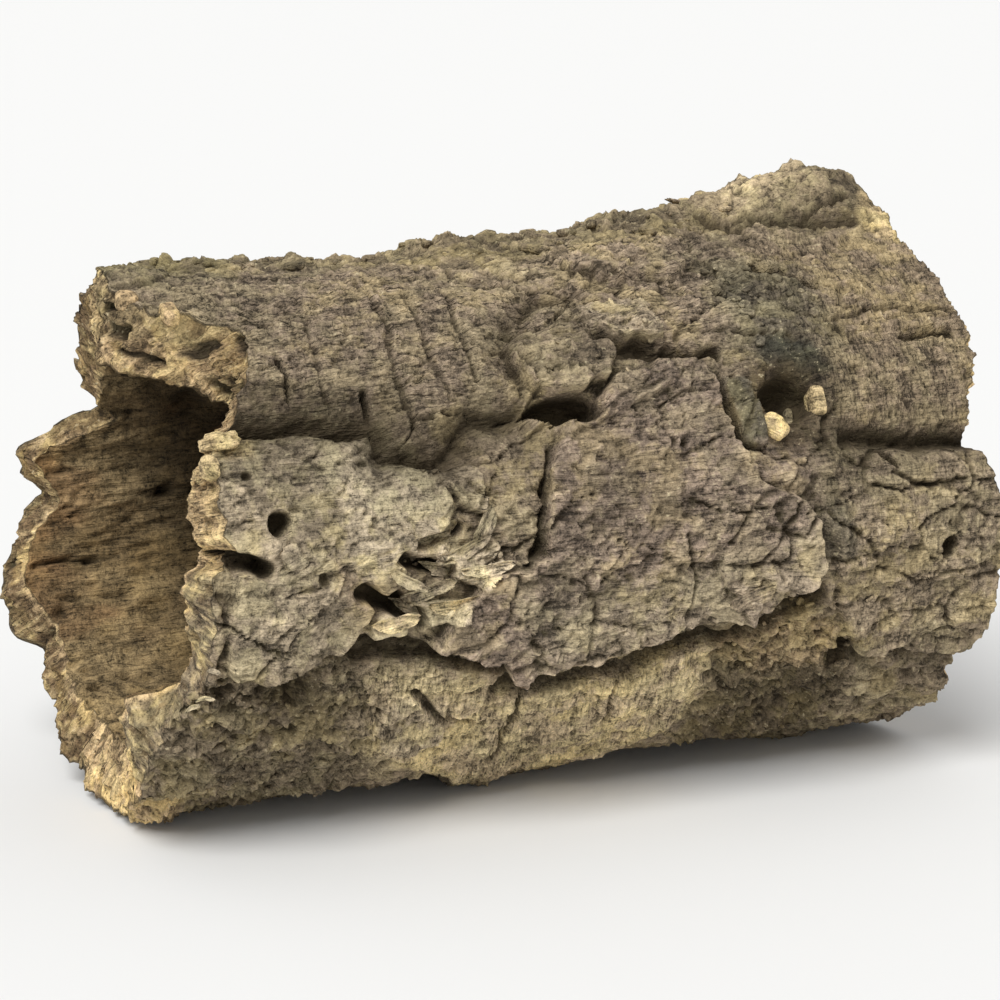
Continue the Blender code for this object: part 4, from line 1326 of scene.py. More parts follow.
@dataclass(frozen=True)
class Wall:
    """The whole wall of the tube, with its broken ends."""

    outer_half_width: float = 74.0
    outer_half_height: float = 76.0
    bore_half_width: float = 58.0
    bore_half_height: float = 57.0
    axis_height: float = 77.5
    chipping: float = 1.2
    undercut: float = 1.1
    most_undercut: float = 3.5
    most_proud: float = 2.5
    flat_below: float = 0.25
    # How far below its smoothed neighbours the skin is in shade, in millimetres
    sunk_depths: tuple[float, float] = (0.7, 4.5)
    crevice_depths: tuple[float, float] = (0.45, 1.9)
    # How many times the relief is blended with its neighbours, from ledges to crevices
    ledge_passes: int = 30
    reach_passes: int = 8
    proud_passes: int = 14
    sunk_passes: int = 90
    crevice_passes: int = 12
    skin_rows: int = 430
    rim_rows: int = 26
    far_rows: int = 14
    bore_rows: int = 58
    relief: Relief = Relief()
    sectors: tuple[Sector, ...] = (
        Sector("bark_lower_front", -75.0, 20.0, 184),
        Sector("bark_upper_front", 20.0, 112.0, 184),
        Sector("bark_back", 112.0, 285.0, 184),
    )
    crust: Outline = (
        (-180, -119), (-176, -124), (-170, -127), (-163, -131), (-156, -134), (-147, -131),
        (-142, -124), (-133, -126), (-128, -123), (-120, -127), (-112, -127), (-107, -123),
        (-98, -125), (-85, -121), (-72, -122), (-57, -124), (-41, -124), (-32, -123),
        (-28, -119), (-22, -115), (-18, -113), (-5, -112), (2, -111), (5, -106), (9, -104),
        (12, -108), (25, -109), (30, -104), (33, -100), (40, -97), (46, -93), (52, -90),
        (58, -92), (61, -104), (64, -114), (68, -119), (74, -121), (85, -118), (95, -115),
        (116, -112), (126, -114), (138, -112), (149, -110), (153, -101), (157, -104),
        (160, -112), (165, -117), (170, -127), (175, -126),
    )
    lip: Outline = (
        (-180, -117), (-170, -125), (-157, -130), (-142, -122), (-120, -122), (-100, -118),
        (-75, -116), (-55, -121), (-40, -128), (-34, -126), (-31, -113), (-17, -112),
        (-10, -114), (2, -115), (5, -110), (9, -108), (13, -111), (22, -111), (29, -105),
        (35, -102), (39, -96), (48, -95), (54, -104), (57, -110), (63, -120), (68, -125),
        (90, -120), (110, -112), (127, -105), (140, -106), (150, -107), (155, -101),
        (161, -113), (168, -125),
    )
    far_end: Outline = (
        (-180, 122), (-140, 124), (-100, 120), (-60, 125), (-50, 122), (-40, 120), (-25, 123),
        (-10, 125), (10, 123), (20, 116), (30, 120), (38, 125), (60, 125), (75, 122),
        (84, 123.5), (96, 124), (112, 120), (150, 123),
    )
    rim_pits: tuple[RimPit, ...] = (
        RimPit(8.0, 0.8, 1.6, 0.6, 5.0), RimPit(54.0, 0.9, 3.2, 0.07, 3.5),
        RimPit(63.0, 0.3, 3.4, 0.06, 4.0), RimPit(43.0, 0.5, 2.4, 0.06, 4.0),
        RimPit(71.0, 0.75, 2.2, 0.07, 4.0), RimPit(85.0, 0.2, 2.6, 0.07, 3.5),
        RimPit(48.0, 0.45, 2.2, 0.16, 4.5), RimPit(45.0, 0.72, 1.6, 0.1, 3.5),
        RimPit(67.0, 0.55, 2.6, 0.12, 4.0), RimPit(51.0, 0.25, 2.2, 0.1, 4.0),
        RimPit(58.0, 0.6, 1.5, 0.2, 3.5), RimPit(74.0, 0.35, 1.2, 0.2, 3.0),
        RimPit(82.0, 0.6, 1.6, 0.15, 3.0), RimPit(91.0, 0.4, 1.5, 0.2, 3.0),
        RimPit(101.0, 0.55, 1.6, 0.15, 3.0), RimPit(196.0, 0.5, 2.0, 0.15, 3.0),
        RimPit(218.0, 0.4, 1.6, 0.2, 3.0), RimPit(-62.0, 0.5, 1.4, 0.2, 3.0),
    )
    # Tones of the mouth's face, from one angle to another and from one part out to another
    rim_stains: tuple[Stain, ...] = (
        Stain(((112, -0.5), (256, 1.5)), Tone.BORE, 0.95),
        Stain(((112, 0.0), (256, 0.16)), Tone.CUT, 0.7),
        Stain(((150, 0.8), (230, 1.5)), Tone.OLIVE, 0.6),
        Stain(((-48, 0.14), (3, 1.5)), Tone.GRAVEL, 0.95),
        Stain(((5, -0.5), (30, 1.5)), Tone.CUT, 0.75),
        Stain(((36, 0.3), (60, 1.5)), Tone.BORE, 0.7),
        Stain(((60, 0.55), (112, 1.5)), Tone.OLIVE, 0.7),
        Stain(((60, -0.5), (112, 0.5)), Tone.BORE_PALE, 0.5),
    )
    rim_layers: Noise = Noise(181, (7.0, 4.5, 4.5), 3)
    chips: Noise = Noise(31, (4.5, 4.5, 4.5))
    fine_chips: Noise = Noise(131, (1.7, 1.7, 1.7))
    far_chips: Noise = Noise(34, (4.5, 4.5, 4.5))
    lip_chips: Noise = Noise(38, (4.5, 4.5, 4.5))
    mouth_splinters: Noise = Noise(44, (9.0, 4.0, 4.0))
    far_splinters: Noise = Noise(42, (9.0, 4.0, 4.0))
    fibres: Noise = Noise(137, (1.0, 1.0, 1.0), 2)
    rim_lumps: Noise = Noise(141, (3.4, 3.4, 3.4), 2)
    crust_chip_size: float = 0.7
    lip_chip_size: float = 0.9
    bore_clearance: float = 0.8
    bore_crowding: float = 1.6  # more rows towards the mouth
    splinter_rise: float = 1.6
    rim_scatter: float = 0.022
    fibre_rise: float = 0.5
    rim_lump_rise: float = 1.3
    rim_layer_rise: float = 1.6

    def edge(
        self, points: Outline, degrees: np.ndarray, chips: Noise, fine: float
    ) -> np.ndarray:
        """Works out a rim's edge.

        Args:
            points: The edge's outline, as degrees and x.
            degrees: The columns' angles.
            chips: The noise of its larger chips.
            fine: How far the smaller chips go.

        Returns:
            The edge's x at each angle.
        """
        angles, along = np.array(points, float).T
        spot = round_the_tube(np.zeros(degrees.shape), degrees)
        plain = np.interp(degrees, angles, along, period=360.0)
        return plain + self.chipping * chips.at(spot) + fine * self.fine_chips.at(spot)

    def points(
        self, x: np.ndarray, degrees: np.ndarray, rise: np.ndarray, half: tuple[float, float]
    ) -> np.ndarray:
        """Works out the points of an oval wall.

        Args:
            x: Places along the tube.
            degrees: Angles round the tube.
            rise: How far each point stands off the oval.
            half: The oval's half width and half height.

        Returns:
            The points, in millimetres.
        """
        angle = np.radians(degrees)
        across = -(half[0] + rise) * np.cos(angle)
        up = self.axis_height + (half[1] + rise) * np.sin(angle)
        return np.stack([x, across, up], axis=-1)

    def softened(self, grid: np.ndarray, passes: int) -> np.ndarray:
        """Smooths a grid, which is closed round the tube and ends at the rims.

        Args:
            grid: The grid, columns by rows.
            passes: How many times each point is blended with its neighbours.

        Returns:
            The smoothed grid.
        """
        for _ in range(passes):
            grid = (np.roll(grid, 1, 0) + 2.0 * grid + np.roll(grid, -1, 0)) / 4.0
            wide = np.pad(grid, ((0, 0), (1, 1)), mode="edge")
            grid = (wide[:, :-2] + 2.0 * grid + wide[:, 2:]) / 4.0
        return grid

    def skin_strip(self, degrees: np.ndarray, mouth: np.ndarray, far: np.ndarray) -> tuple:
        """Builds the outside, with each steep ledge hanging over what is below it.

        Args:
            degrees: The columns' angles.
            mouth: The crust's edge at the mouth, for each column.
            far: The same at the far end.

        Returns:
            The points, with a column for each angle, and their looks.
        """
        part = np.linspace(0.0, 1.0, self.skin_rows)[None, :]
        x = mouth[:, None] + part * (far - mouth)[:, None]
        wide = np.broadcast_to(degrees[:, None], x.shape)
        main, rise, looks = self.relief.skin(x, wide)
        soft = self.softened(main, self.ledge_passes)
        spread = ((np.roll(degrees, -1) - np.roll(degrees, 1)) % 360.0 * ARC)[:, None]
        slope_arc = (np.roll(soft, -1, 0) - np.roll(soft, 1, 0)) / spread
        slope_x = np.gradient(soft, axis=1) / np.gradient(x, axis=1)
        proud = self.undercut * (main - soft)
        most = self.most_undercut
        passes = self.reach_passes
        reach_arc = self.softened(np.clip(-proud * slope_arc, -most, most), passes)
        reach_x = self.softened(np.clip(-proud * slope_x, -most, most), passes)
        points = self.points(
            x + 0.5 * reach_x,
            wide + reach_arc / ARC,
            rise,
            (self.outer_half_width, self.outer_half_height),
        )
        points[..., 2] = np.maximum(points[..., 2], 0.0)
        # Painted light on what stands above its neighbours, painted shade on what lies below them
        above = rise - self.softened(rise, self.proud_passes)
        looks.proud = np.clip(above, -self.most_proud, self.most_proud)
        # Painted shade where the skin is sunk or creviced
        sunk = smooth_step(*self.sunk_depths, self.softened(rise, self.sunk_passes) - rise)
        below = self.softened(rise, self.crevice_passes) - rise
        crevice = smooth_step(*self.crevice_depths, below)
        looks.hollow = np.clip(looks.hollow + 0.7 * sunk + 0.6 * crevice, 0.0, 1.0)
        from_edge = np.minimum(x - mouth[:, None], far[:, None] - x)
        looks.cut = 0.5 * (1.0 - smooth_step(0.2, 1.4, from_edge + 0.5 * looks.proud))
        return points, looks

    def bore_strip(self, degrees: np.ndarray, lip: np.ndarray, far: np.ndarray) -> tuple:
        """Builds the bore's wall, from the far end to the mouth.

        Args:
            degrees: The columns' angles.
            lip: The inner lip's x at the mouth, for each column.
            far: The same at the far end.

        Returns:
            The points, with a column for each angle, and their looks.
        """
        part = np.linspace(1.0, 0.0, self.bore_rows)[None, :] ** self.bore_crowding
        x = lip[:, None] + part * (far - lip)[:, None]
        wide = np.broadcast_to(degrees[:, None], x.shape)
        rise, looks = self.relief.bore(x, wide)
        half = (self.bore_half_width, self.bore_half_height)
        return self.points(x, wide, rise, half), looks

    def rim_strip(
        self,
        degrees: np.ndarray,
        start: np.ndarray,
        end: np.ndarray,
        at_mouth: bool,
    ) -> tuple:
        """Builds a broken end face, fibrous and pitted, between two edges.

        Args:
            degrees: The columns' angles.
            start: The points of the edge that it starts from.
            end: The points of the edge that it ends at.
            at_mouth: Whether it is the mouth's face, from the lip out to the crust.

        Returns:
            The points, with a column for each angle, and their looks.
        """
        rows = self.rim_rows if at_mouth else self.far_rows
        part = (np.arange(1, rows + 1) / (rows + 1.0))[None, :]
        wide = np.broadcast_to(degrees[:, None], (len(degrees), rows))
        points = start[:, None] + part[..., None] * (end - start)[:, None]
        noise = self.mouth_splinters if at_mouth else self.far_splinters
        outwards = -1.0 if at_mouth else 1.0
        arch = np.sin(np.pi * part)
        bulge = arch * (1.0 + self.splinter_rise * noise.at(points))
        outwards_part = part if at_mouth else 1.0 - part
        spot = np.stack(
            [unwrapped(wide) * ARC / 1.1, outwards_part * 4.0 + wide * 0.02, wide * 0.0], -1
        )
        fibres = self.fibres.at(spot)
        rough = self.rim_lumps.at(points)
        pits = np.zeros(wide.shape)
        if at_mouth:
            for pit in self.rim_pits:
                gap = (unwrapped(wide) - unwrapped(np.array(pit.degrees))) / pit.half_degrees
                reach = np.hypot(gap, (part - pit.part) / pit.half_part)
                pits = np.maximum(pits, pit.depth * (1.0 - smooth_step(0.5, 1.2, reach)))
        layers = stepped(1.6 * self.rim_layers.at(points))
        angle = unwrapped(wide)
        calm = between((-50.0, -44.0), (1.0, 5.0), angle)
        upper = between((34.0, 38.0), (108.0, 116.0), angle)
        height = 1.0 - 0.6 * calm + 0.4 * upper
        texture = self.fibre_rise * fibres + self.rim_lump_rise * rough
        texture += self.rim_layer_rise * layers
        bulge = bulge + arch**0.5 * height * texture - pits
        points[..., 0] += outwards * bulge
        middle = np.array([0.0, 0.0, self.axis_height])
        scatter = self.rim_scatter * (arch**0.5 * rough)[..., None]
        points += scatter * (points - middle) * (0.0, 1.0, 1.0)

        grain = np.stack([8.0 * outwards_part + 0.0 * wide, unwrapped(wide) * ARC, bulge], -1)
        looks = Looks.plain(grain, Tone.CUT)
        if at_mouth:
            ragged = 2.5 * rough
            for stain in self.rim_stains:
                (first, inner), (last, outer) = stain.outline
                weight = between((first - 2, first + 2), (last - 2, last + 2), angle + ragged)
                out = part + 0.06 * rough
                weight *= between((inner - 0.08, inner + 0.08), (outer - 0.08, outer + 0.08), out)
                looks.tint = blended(looks.tint, stain.tone, stain.strength * weight)
        looks.tint = blended(looks.tint, Tone.STRAW, 0.45 * smooth_step(0.1, 0.7, fibres))
        # Painted shade where the face's fibres and lumps are low
        dark = smooth_step(0.0, 0.8, -0.7 * fibres - 0.8 * rough)
        looks.tint = blended(looks.tint, Tone.BORE, 0.6 * dark)
        # Painted shade in the pits
        looks.tint = blended(looks.tint, Tone.PAINTED_SHADE, smooth_step(0.3, 2.0, pits))
        looks.cut = looks.cut + 1.0
        # Painted shade in recesses, stronger on the upper face
        recess = (0.45 + 0.3 * upper) * smooth_step(0.2, 1.0, -rough)
        looks.hollow = np.clip(0.3 * pits + recess * (1.0 - 0.5 * calm), 0.0, 1.0)
        # Painted light on raised fibres and layers, painted shade on low ones
        looks.proud = 0.8 * fibres + 1.2 * layers
        return points, looks

    def strips(self) -> tuple[np.ndarray, Looks]:
        """Works out the whole wall: the skin, the far face, the bore and the mouth's face.

        Returns:
            The points in the part's own frame, and their looks, with a column for each angle.
        """
        degrees = np.concatenate([sector.degrees() for sector in self.sectors])
        mouth = self.edge(self.crust, degrees, self.chips, self.crust_chip_size)
        far = self.edge(self.far_end, degrees, self.far_chips, self.crust_chip_size)
        lip = self.edge(self.lip, degrees, self.lip_chips, self.lip_chip_size)
        skin, skin_looks = self.skin_strip(degrees, mouth, far)
        bore, bore_looks = self.bore_strip(degrees, lip, far - self.bore_clearance)
        far_rim, far_looks = self.rim_strip(degrees, skin[:, -1], bore[:, 0], False)
        rim, rim_looks = self.rim_strip(degrees, bore[:, -1], skin[:, 0], True)
        points = np.concatenate([skin, far_rim, bore, rim], axis=1)
        return points, Looks.joined([skin_looks, far_looks, bore_looks, rim_looks], 1)

    def normals(self, points: np.ndarray) -> np.ndarray:
        """Works out which way the whole wall faces, so that no seam shows in it.

        Args:
            points: The wall's points, columns by rows.

        Returns:
            A unit vector for each point.
        """
        along = np.roll(points, -1, 1) - np.roll(points, 1, 1)
        aside = np.roll(points, -1, 0) - np.roll(points, 1, 0)
        facing = np.cross(along, aside)
        length = np.linalg.norm(facing, axis=-1, keepdims=True)
        return facing / np.maximum(length, 1e-12)

    def sector_mesh(
        self, name: str, points: np.ndarray, normals: np.ndarray, looks: Looks
    ) -> bpy.types.Mesh:
        """Makes one sector's closed mesh.

        Args:
            name: The mesh's name.
            points: The sector's points in metres, columns by rows.
            normals: Which way each point faces.
            looks: The looks at the same points, in one list.

        Returns:
            The mesh, with its two cut faces flat and the rest smooth.
        """
        columns, rows = points.shape[:2]
        index = np.arange(columns * rows).reshape(columns, rows)
        along = np.roll(index, -1, 1)
        quads = np.stack([index[:-1], along[:-1], along[1:], index[1:]], axis=-1)
        loops = np.concatenate([quads.ravel(), index[0, ::-1], index[-1]])
        count = (columns - 1) * rows
        starts = np.append(np.arange(count) * 4, [count * 4, count * 4 + rows])
        mesh = bpy.data.meshes.new(name)
        mesh.vertices.add(columns * rows)
        mesh.vertices.foreach_set("co", points.astype(np.float32).ravel())
        mesh.loops.add(len(loops))
        mesh.loops.foreach_set("vertex_index", loops.astype(np.int32))
        mesh.polygons.add(len(starts))
        mesh.polygons.foreach_set("loop_start", starts.astype(np.int32))
        mesh.update(calc_edges=True)
        mesh.polygons.foreach_set("use_smooth", np.arange(len(starts)) < count)
        mesh.normals_split_custom_set_from_vertices(normals.reshape(-1, 3))
        looks.write_to(mesh)
        return mesh

    def build(self, material: bpy.types.Material) -> tuple:
        """Builds and dresses the wall's sectors.

        Args:
            material: The bark's material.

        Returns:
            The sectors' objects, and the finished outside for small pieces to sit on.
        """
        points, looks = self.strips()
        low, high = points.min(axis=(0, 1)), points.max(axis=(0, 1))
        along = points[:, : self.skin_rows, 0]
        box_low, box_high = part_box(NODE)
        shift = (np.array(box_low) + np.array(box_high)) / 2.0 - (low + high) / 2.0 * METRES
        shift[2] = 0.0
        points = points * METRES + shift
        level = points[..., 2] < self.flat_below * METRES
        points[..., 2] = np.where(level, 0.0, points[..., 2])
        normals = self.normals(points)
        result = []
        first = 0
        for sector in self.sectors:
            chosen = np.arange(first, first + sector.columns + 1) % len(points)
            mesh = self.sector_mesh(
                sector.name, points[chosen], normals[chosen], looks.columns(chosen)
            )
            result.append(placed(sector.name, mesh, material))
            first += sector.columns
        degrees = np.concatenate([sector.degrees() for sector in self.sectors])
        tint = looks.tint[:, : self.skin_rows]
        return result, Surface(points[:, : self.skin_rows], along, degrees, tint)


def placed(
    name: str, mesh: bpy.types.Mesh, material: bpy.types.Material
) -> bpy.types.Object:
    """Puts a mesh in the scene as a piece of the tube.

    Args:
        name: The piece's name.
        mesh: Its mesh.
        material: Its material.

    Returns:
        The piece, which rides on the tube's body and takes its finish from the bark's slot.
    """
    piece = bpy.data.objects.new(name, mesh)
    mesh.materials.append(material)
    bpy.context.scene.collection.objects.link(piece)
    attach(piece, BODY)
    LOG.info("%s: %d points", name, len(mesh.vertices))
    return piece


MIDDLE = 0.5  # of a noise node's values


class Socket:
    """A number or colour in a material, with the operators that add nodes for it."""

    def __init__(self, shading: "Shading", link: bpy.types.NodeSocket) -> None:
        """Wraps a node's output."""
        self.shading = shading
        self.link = link

    def maths(self, operation: str, *values: "Socket | float") -> "Socket":
        """Adds a Math node."""
        inputs = dict(enumerate(values))
        return self.shading.node("ShaderNodeMath", {"operation": operation}, inputs)

    def __add__(self, other: "Socket | float") -> "Socket":
        """This plus the other."""
        return self.maths("ADD", self, other)

    def __radd__(self, other: float) -> "Socket":
        """The other plus this."""
        return self.maths("ADD", other, self)

    def __sub__(self, other: "Socket | float") -> "Socket":
        """This less the other."""
        return self.maths("SUBTRACT", self, other)

    def __rsub__(self, other: float) -> "Socket":
        """The other less this."""
        return self.maths("SUBTRACT", other, self)

    def __mul__(self, other: "Socket | float") -> "Socket":
        """This times the other."""
        return self.maths("MULTIPLY", self, other)

    def __rmul__(self, other: float) -> "Socket":
        """The other times this."""
        return self.maths("MULTIPLY", other, self)

    def creased(self, width: float) -> "Socket":
        """1 along the lines where this is a half, and 0 further than a width from them."""
        return self.maths("ABSOLUTE", self - MIDDLE).below(0.0, width)

    def below(self, low: float, high: float) -> "Socket":
        """1 where this is below low and 0 where it is above high, with a soft turn."""
        return 1.0 - self.between(low, high)

    def clamped(self) -> "Socket":
        """This, kept from 0 to 1."""
        return self.maths("MINIMUM", self.maths("MAXIMUM", self, 0.0), 1.0)

    def between(self, low: float, high: float) -> "Socket":
        """Adds a soft turn from 0 to 1.

        Args:
            low: Where it starts.
            high: Where it ends.

        Returns:
            0 where this is below low and 1 where it is above high.
        """
        settings = {"interpolation_type": "SMOOTHSTEP"}
        inputs = {"Value": self, "From Min": low, "From Max": high}
        return self.shading.node("ShaderNodeMapRange", settings, inputs)


class Shading:
    """A material under construction."""

    def __init__(self, name: str) -> None:
        """Starts a material with a plain shader."""
        self.material = bpy.data.materials.new(name)
        self.material.use_nodes = True
        self.tree = self.material.node_tree
        self.shader = self.tree.nodes["Principled BSDF"]

    def feed(self, socket: bpy.types.NodeSocket, value: object) -> None:
        """Links or sets one socket.

        Args:
            socket: The socket.
            value: What it gets.
        """
        if isinstance(value, Socket):
            self.tree.links.new(value.link, socket)
        else:
            socket.default_value = value

    def node(
        self, kind: str, settings: dict, inputs: dict, output: int | str = 0
    ) -> Socket:
        """Adds a node.

        Args:
            kind: The node's type.
            settings: Its settings, which are set first.
            inputs: Values or links for its sockets, by name or number.
            output: The output that is wanted.

        Returns:
            The output.
        """
        node = self.tree.nodes.new(kind)
        for name, value in settings.items():
            setattr(node, name, value)
        for key, value in inputs.items():
            self.feed(node.inputs[key], value)
        return Socket(self, node.outputs[output])

    def attribute(self, name: str, output: str = "Fac") -> Socket:
        """Reads one of the mesh's attributes."""
        return self.node("ShaderNodeAttribute", {"attribute_name": name}, {}, output)

    def scaled(self, vector: Socket, by: tuple[float, float, float]) -> Socket:
        """A vector times another."""
        return self.node("ShaderNodeVectorMath", {"operation": "MULTIPLY"}, {0: vector, 1: by})

    def noise(
        self,
        vector: Socket,
        cell: float,
        detail: float = 3.0,
        roughness: float = 0.55,
        distortion: float = 0.0,
    ) -> Socket:
        """Adds a noise node.

        Args:
            vector: Where it is read.
            cell: Its cell, in the vector's own unit.
            detail: How many finer layers it has.
            roughness: How strong the finer layers are.
            distortion: How far it is warped.

        Returns:
            Noise from about 0.25 to 0.75.
        """
        inputs = {"Vector": vector, "Scale": 1.0 / cell, "Detail": detail}
        inputs["Roughness"] = roughness
        inputs["Distortion"] = distortion
        return self.node("ShaderNodeTexNoise", {"noise_dimensions": "3D"}, inputs)

    def mixed(
        self, factor: "Socket | float", first: object, second: object, blend: str = "MIX"
    ) -> Socket:
        """Mixes two colours.

        Args:
            factor: How far the second is blended in.
            first: The first colour.
            second: The second colour.
            blend: How they blend.

        Returns:
            The mixed colour.
        """
        settings = {"data_type": "RGBA", "blend_type": blend}
        inputs = {0: factor, 6: first, 7: second}
        return self.node("ShaderNodeMix", settings, inputs, 2)

    def dimmed(self, colour: Socket, by: Socket) -> Socket:
        """A colour times a number."""
        grey = self.node("ShaderNodeCombineColor", {}, {0: by, 1: by, 2: by})
        return self.mixed(1.0, colour, grey, "MULTIPLY")


def colour_of(tone: Tone) -> Colour:
    """A tone as a colour for a node."""
    return (*(float(part) for part in linear(tone)), 1.0)


@dataclass(frozen=True)
class Mottle:
    """Spots of one size, with how much they change the brightness and the height.

    cell is in millimetres, and contrast and height are for the noise's whole range.
    """

    cell: float
    detail: float
    roughness: float
    contrast: float
    height: float = 0.0

    def noise(self, bark: Shading, place: Socket) -> Socket:
        """The spots' noise, read at a place in millimetres."""
        return bark.noise(place, self.cell, self.detail, self.roughness)


@dataclass(frozen=True)
class Streaks:
    """Grain that runs one way, given by its cells in a millimetre along, round and out."""

    cells: tuple[float, float, float]
    detail: float
    roughness: float
    distortion: float
    contrast: float
    height: float = 0.0

    def noise(self, bark: Shading, grain: Socket) -> Socket:
        """The streaks' noise, read at a place of the grain."""
        place = bark.scaled(grain, self.cells)
        return bark.noise(place, 1.0, self.detail, self.roughness, self.distortion)


@dataclass(frozen=True)
class BarkFinish:
    """Dull, weathered cork bark: mottled, grained, speckled, with painted shade in its crevices.

    The pairs are where a noise of about 0.25 to 0.75 starts and stops to turn from one look
    to another.
    """

    brightness: float = 0.98
    least_brightness: float = 0.22
    roughness: float = 0.81
    roughness_spread: float = 0.14
    gloss: float = 0.22
    bump_height: float = 1.1 * METRES

    broad: Mottle = Mottle(26.0, 2.0, 0.6, 0.9)
    mottle: Mottle = Mottle(10.0, 3.0, 0.65, 1.4)
    patchy: Mottle = Mottle(3.6, 2.0, 0.65, 2.0, 0.5)
    fine: Mottle = Mottle(1.2, 2.0, 0.7, 1.2, 0.35)
    grit: Mottle = Mottle(0.5, 1.0, 0.6, 1.3, 0.16)
    lines: Streaks = Streaks((0.13, 1.1, 0.6), 2.0, 0.7, 0.5, 1.7, 1.15)
    rings: Streaks = Streaks((1.1, 0.14, 0.6), 2.0, 0.7, 0.6, 1.9, 1.0)
    fibres: Streaks = Streaks((0.5, 1.6, 0.3), 1.0, 0.65, 0.0, 1.1, 0.9)
    breaks: Streaks = Streaks((0.28, 0.07, 0.3), 3.0, 0.6, 0.0, 0.3)

    break_width: float = 0.016
    least_break: float = 0.25
    least_along: float = 0.6
    least_round: float = 0.12
    most_round: float = 0.92
    inside_grain: float = 0.5
    # Painted light on what stands proud, painted shade on what is sunk
    proud_contrast: float = 0.25
    seam_contrast: float = 0.2
    seam_height: float = 0.15
    seam_turn: tuple[float, float] = (0.36, 0.44)
    speck_contrast: float = 0.22
    speck_turn: tuple[float, float] = (0.34, 0.42)

    purple_wash: Colour = (0.97, 0.92, 1.05, 1.0)
    purple_strength: float = 0.7
    purple_turn: tuple[float, float] = (0.42, 0.58)
    tan_wash: Colour = (1.08, 1.03, 0.84, 1.0)
    tan_strength: float = 0.5
    tan_turn: tuple[float, float] = (0.44, 0.6)
    fleck_strength: float = 0.6
    fleck_turn: tuple[float, float] = (0.58, 0.68)
    fleck_patches: tuple[float, float] = (0.5, 0.6)
    algae_strength: float = 0.45
    algae_turn: tuple[float, float] = (0.4, 0.54)
    algae_patches: tuple[float, float] = (0.42, 0.56)
    algae_on_the_flat: float = 0.1
    # Painted shade in crevices, and how much of it stays on cut faces
    crevice_shade_strength: float = 0.85
    crevice_shade_in_cut: float = 0.6

    def material(self) -> bpy.types.Material:
        """Makes the material."""
        bark = Shading("cork bark")
        position = bark.node("ShaderNodeTexCoord", {}, {}, "Object")
        place = bark.scaled(position, (1.0 / METRES, 1.0 / METRES, 1.0 / METRES))
        grain = bark.attribute("grain", "Vector")
        hollow = bark.attribute("hollow")
        cut = bark.attribute("cut")
        outside = 1.0 - bark.attribute("inside")
        lengthwise = bark.attribute("lengthwise")
        along = self.least_along * (1.0 + lengthwise)
        along = along * (self.inside_grain + (1.0 - self.inside_grain) * outside)
        ringwise = bark.attribute("ringwise")
        round_it = self.least_round + (self.most_round - self.least_round) * ringwise

        sizes = (self.broad, self.mottle, self.patchy, self.fine, self.grit)
        spots = [size.noise(bark, place) for size in sizes]
        broad, mottle, patchy, fine = spots[:4]
        runs = (self.lines, self.rings, self.fibres)
        streaks = [run.noise(bark, grain) for run in runs]
        masks = (along, round_it, cut)
        breaks = self.breaks.noise(bark, grain).creased(self.break_width) * (1.0 - cut)
        breaks = breaks * (self.least_break + (1.0 - self.least_break) * lengthwise)
        seams = along * streaks[0].below(*self.seam_turn)
        seams = seams + round_it * streaks[1].below(*self.seam_turn)

        # Painted light on raised bark and painted shade on sunk bark, from proud
        bright = self.brightness + self.proud_contrast * bark.attribute("proud")
        for size, noise in zip(sizes, spots):
            bright = bright + size.contrast * (noise - MIDDLE)
        for run, noise, mask in zip(runs, streaks, masks):
            bright = bright + run.contrast * mask * (noise - MIDDLE)
        bright = bright - self.breaks.contrast * breaks - self.seam_contrast * seams
        bright = bright - self.speck_contrast * fine.below(*self.speck_turn)
        bright = bright.maths("MAXIMUM", bright, self.least_brightness)
        colour = bark.dimmed(bark.attribute("tint", "Color"), bright)

        purple = mottle.below(*self.purple_turn) * outside
        colour = bark.mixed(self.purple_strength * purple, colour, self.purple_wash, "MULTIPLY")
        tan = broad.between(*self.tan_turn) * (1.0 - purple)
        colour = bark.mixed(self.tan_strength * tan, colour, self.tan_wash, "MULTIPLY")
        flecked = fine.between(*self.fleck_turn) * patchy.between(*self.fleck_patches) * outside
        colour = bark.mixed(self.fleck_strength * flecked, colour, colour_of(Tone.CREAM))
        algae = broad.below(*self.algae_turn) * patchy.between(*self.algae_patches)
        damp = (hollow + self.algae_on_the_flat * algae).clamped() * algae * outside
        colour = bark.mixed(self.algae_strength * damp, colour, colour_of(Tone.MOSS))
        # Painted shade in crevices, pits and recesses, from the hollow mask
        deep = (self.crevice_shade_strength * hollow).clamped()
        deep = deep * (1.0 - (1.0 - self.crevice_shade_in_cut) * cut)
        colour = bark.mixed(deep, colour, colour_of(Tone.PAINTED_SHADE))

        # The broadest spots have no height, and a bump would read their noise three times over
        height = -self.seam_height * seams
        for size, noise in zip(sizes, spots):
            if size.height:
                height = height + size.height * noise
        for run, noise, mask in zip(runs, streaks, masks):
            height = height + run.height * mask * noise
        bump = {"Strength": 1.0, "Distance": self.bump_height, "Height": height}
        bark.feed(bark.shader.inputs["Base Color"], colour)
        bark.feed(bark.shader.inputs["Roughness"], self.roughness + self.roughness_spread * fine)
        bark.feed(bark.shader.inputs["Normal"], bark.node("ShaderNodeBump", {}, bump))
        bark.shader.inputs["Specular IOR Level"].default_value = self.gloss
        return bark.material


@dataclass(frozen=True)
class FloorFinish:
    """Plain pale matt floor."""

    colour: Colour = (0.82, 0.82, 0.81, 1.0)
    roughness: float = 0.9

    def material(self) -> bpy.types.Material:
        """Makes the material."""
        floor = Shading("pale floor")
        floor.shader.inputs["Base Color"].default_value = self.colour
        floor.shader.inputs["Roughness"].default_value = self.roughness
        return floor.material


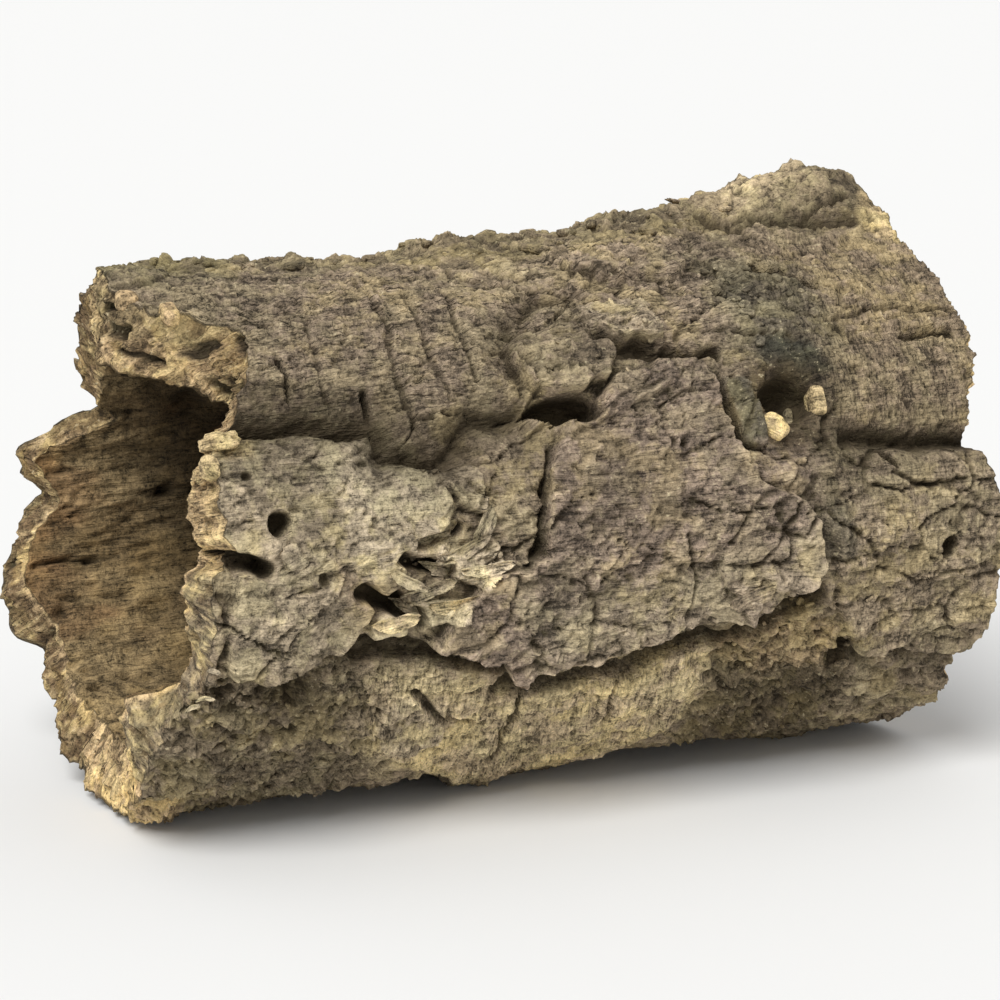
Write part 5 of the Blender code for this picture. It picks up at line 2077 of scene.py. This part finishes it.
@dataclass(frozen=True)
class Studio:
    """The floor, the lights and the camera at the photograph's viewing angle."""

    target: tuple[float, float, float] = (0.0035, 0.0009, 0.0775)
    azimuth: float = -23.0
    elevation: float = 12.0
    distance: float = 0.82
    lens: float = 100.4
    shift_up: float = 0.005
    floor_size: float = 60.0
    sky: float = 0.6
    key: float = 2.4
    key_width: float = 34.0
    key_azimuth: float = -45.0
    key_elevation: float = 50.0

    def direction(self, azimuth: float, elevation: float) -> np.ndarray:
        """Works out the way from the tube to a viewer.

        Args:
            azimuth: The viewer's angle round the tube, from -Y.
            elevation: The viewer's angle above the floor.

        Returns:
            A unit vector.
        """
        turn, tilt = math.radians(azimuth), math.radians(elevation)
        flat = math.cos(tilt)
        return np.array([math.sin(turn) * flat, -math.cos(turn) * flat, math.sin(tilt)])

    def aimed(self, thing: bpy.types.Object, azimuth: float, elevation: float) -> None:
        """Turns a camera or light at the tube, from an azimuth and an elevation."""
        thing.rotation_euler = (math.radians(90.0 - elevation), 0.0, math.radians(azimuth))

    def build(self) -> None:
        """Builds the floor, the lights and the camera."""
        scene = bpy.context.scene
        half = self.floor_size / 2.0
        mesh = bpy.data.meshes.new("floor")
        corners = [(-half, -half, 0), (half, -half, 0), (half, half, 0), (-half, half, 0)]
        mesh.from_pydata(corners, [], [(0, 1, 2, 3)])
        mesh.materials.append(FloorFinish().material())
        floor = bpy.data.objects.new("floor", mesh)
        scene.collection.objects.link(floor)

        world = bpy.data.worlds.new("studio")
        world.use_nodes = True
        background = world.node_tree.nodes["Background"]
        background.inputs["Color"].default_value = (1.0, 1.0, 1.0, 1.0)
        background.inputs["Strength"].default_value = self.sky
        scene.world = world

        lamp = bpy.data.lights.new("key light", "SUN")
        lamp.energy = self.key
        lamp.angle = math.radians(self.key_width)
        key = bpy.data.objects.new("key light", lamp)
        self.aimed(key, self.key_azimuth, self.key_elevation)
        scene.collection.objects.link(key)

        lens = bpy.data.cameras.new("camera")
        lens.lens = self.lens
        lens.sensor_width = 36.0
        lens.shift_y = self.shift_up
        lens.clip_end = 100.0
        camera = bpy.data.objects.new("camera", lens)
        way = self.direction(self.azimuth, self.elevation)
        camera.location = np.array(self.target) + way * self.distance
        self.aimed(camera, self.azimuth, self.elevation)
        scene.collection.objects.link(camera)
        scene.camera = camera
        scene.view_settings.view_transform = "Standard"


def main() -> None:
    """Builds the cork tube's pieces in order, and the studio round them."""
    logging.basicConfig(level=logging.INFO, format="%(name)s: %(message)s")
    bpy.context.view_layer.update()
    bark = BarkFinish().material()
    sectors, surface = Wall().build(bark)
    for piece in sectors:
        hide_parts(NODE)
    Scraps().build(surface, bark)
    Studio().build()
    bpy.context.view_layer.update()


if __name__ == "__main__":
    main()
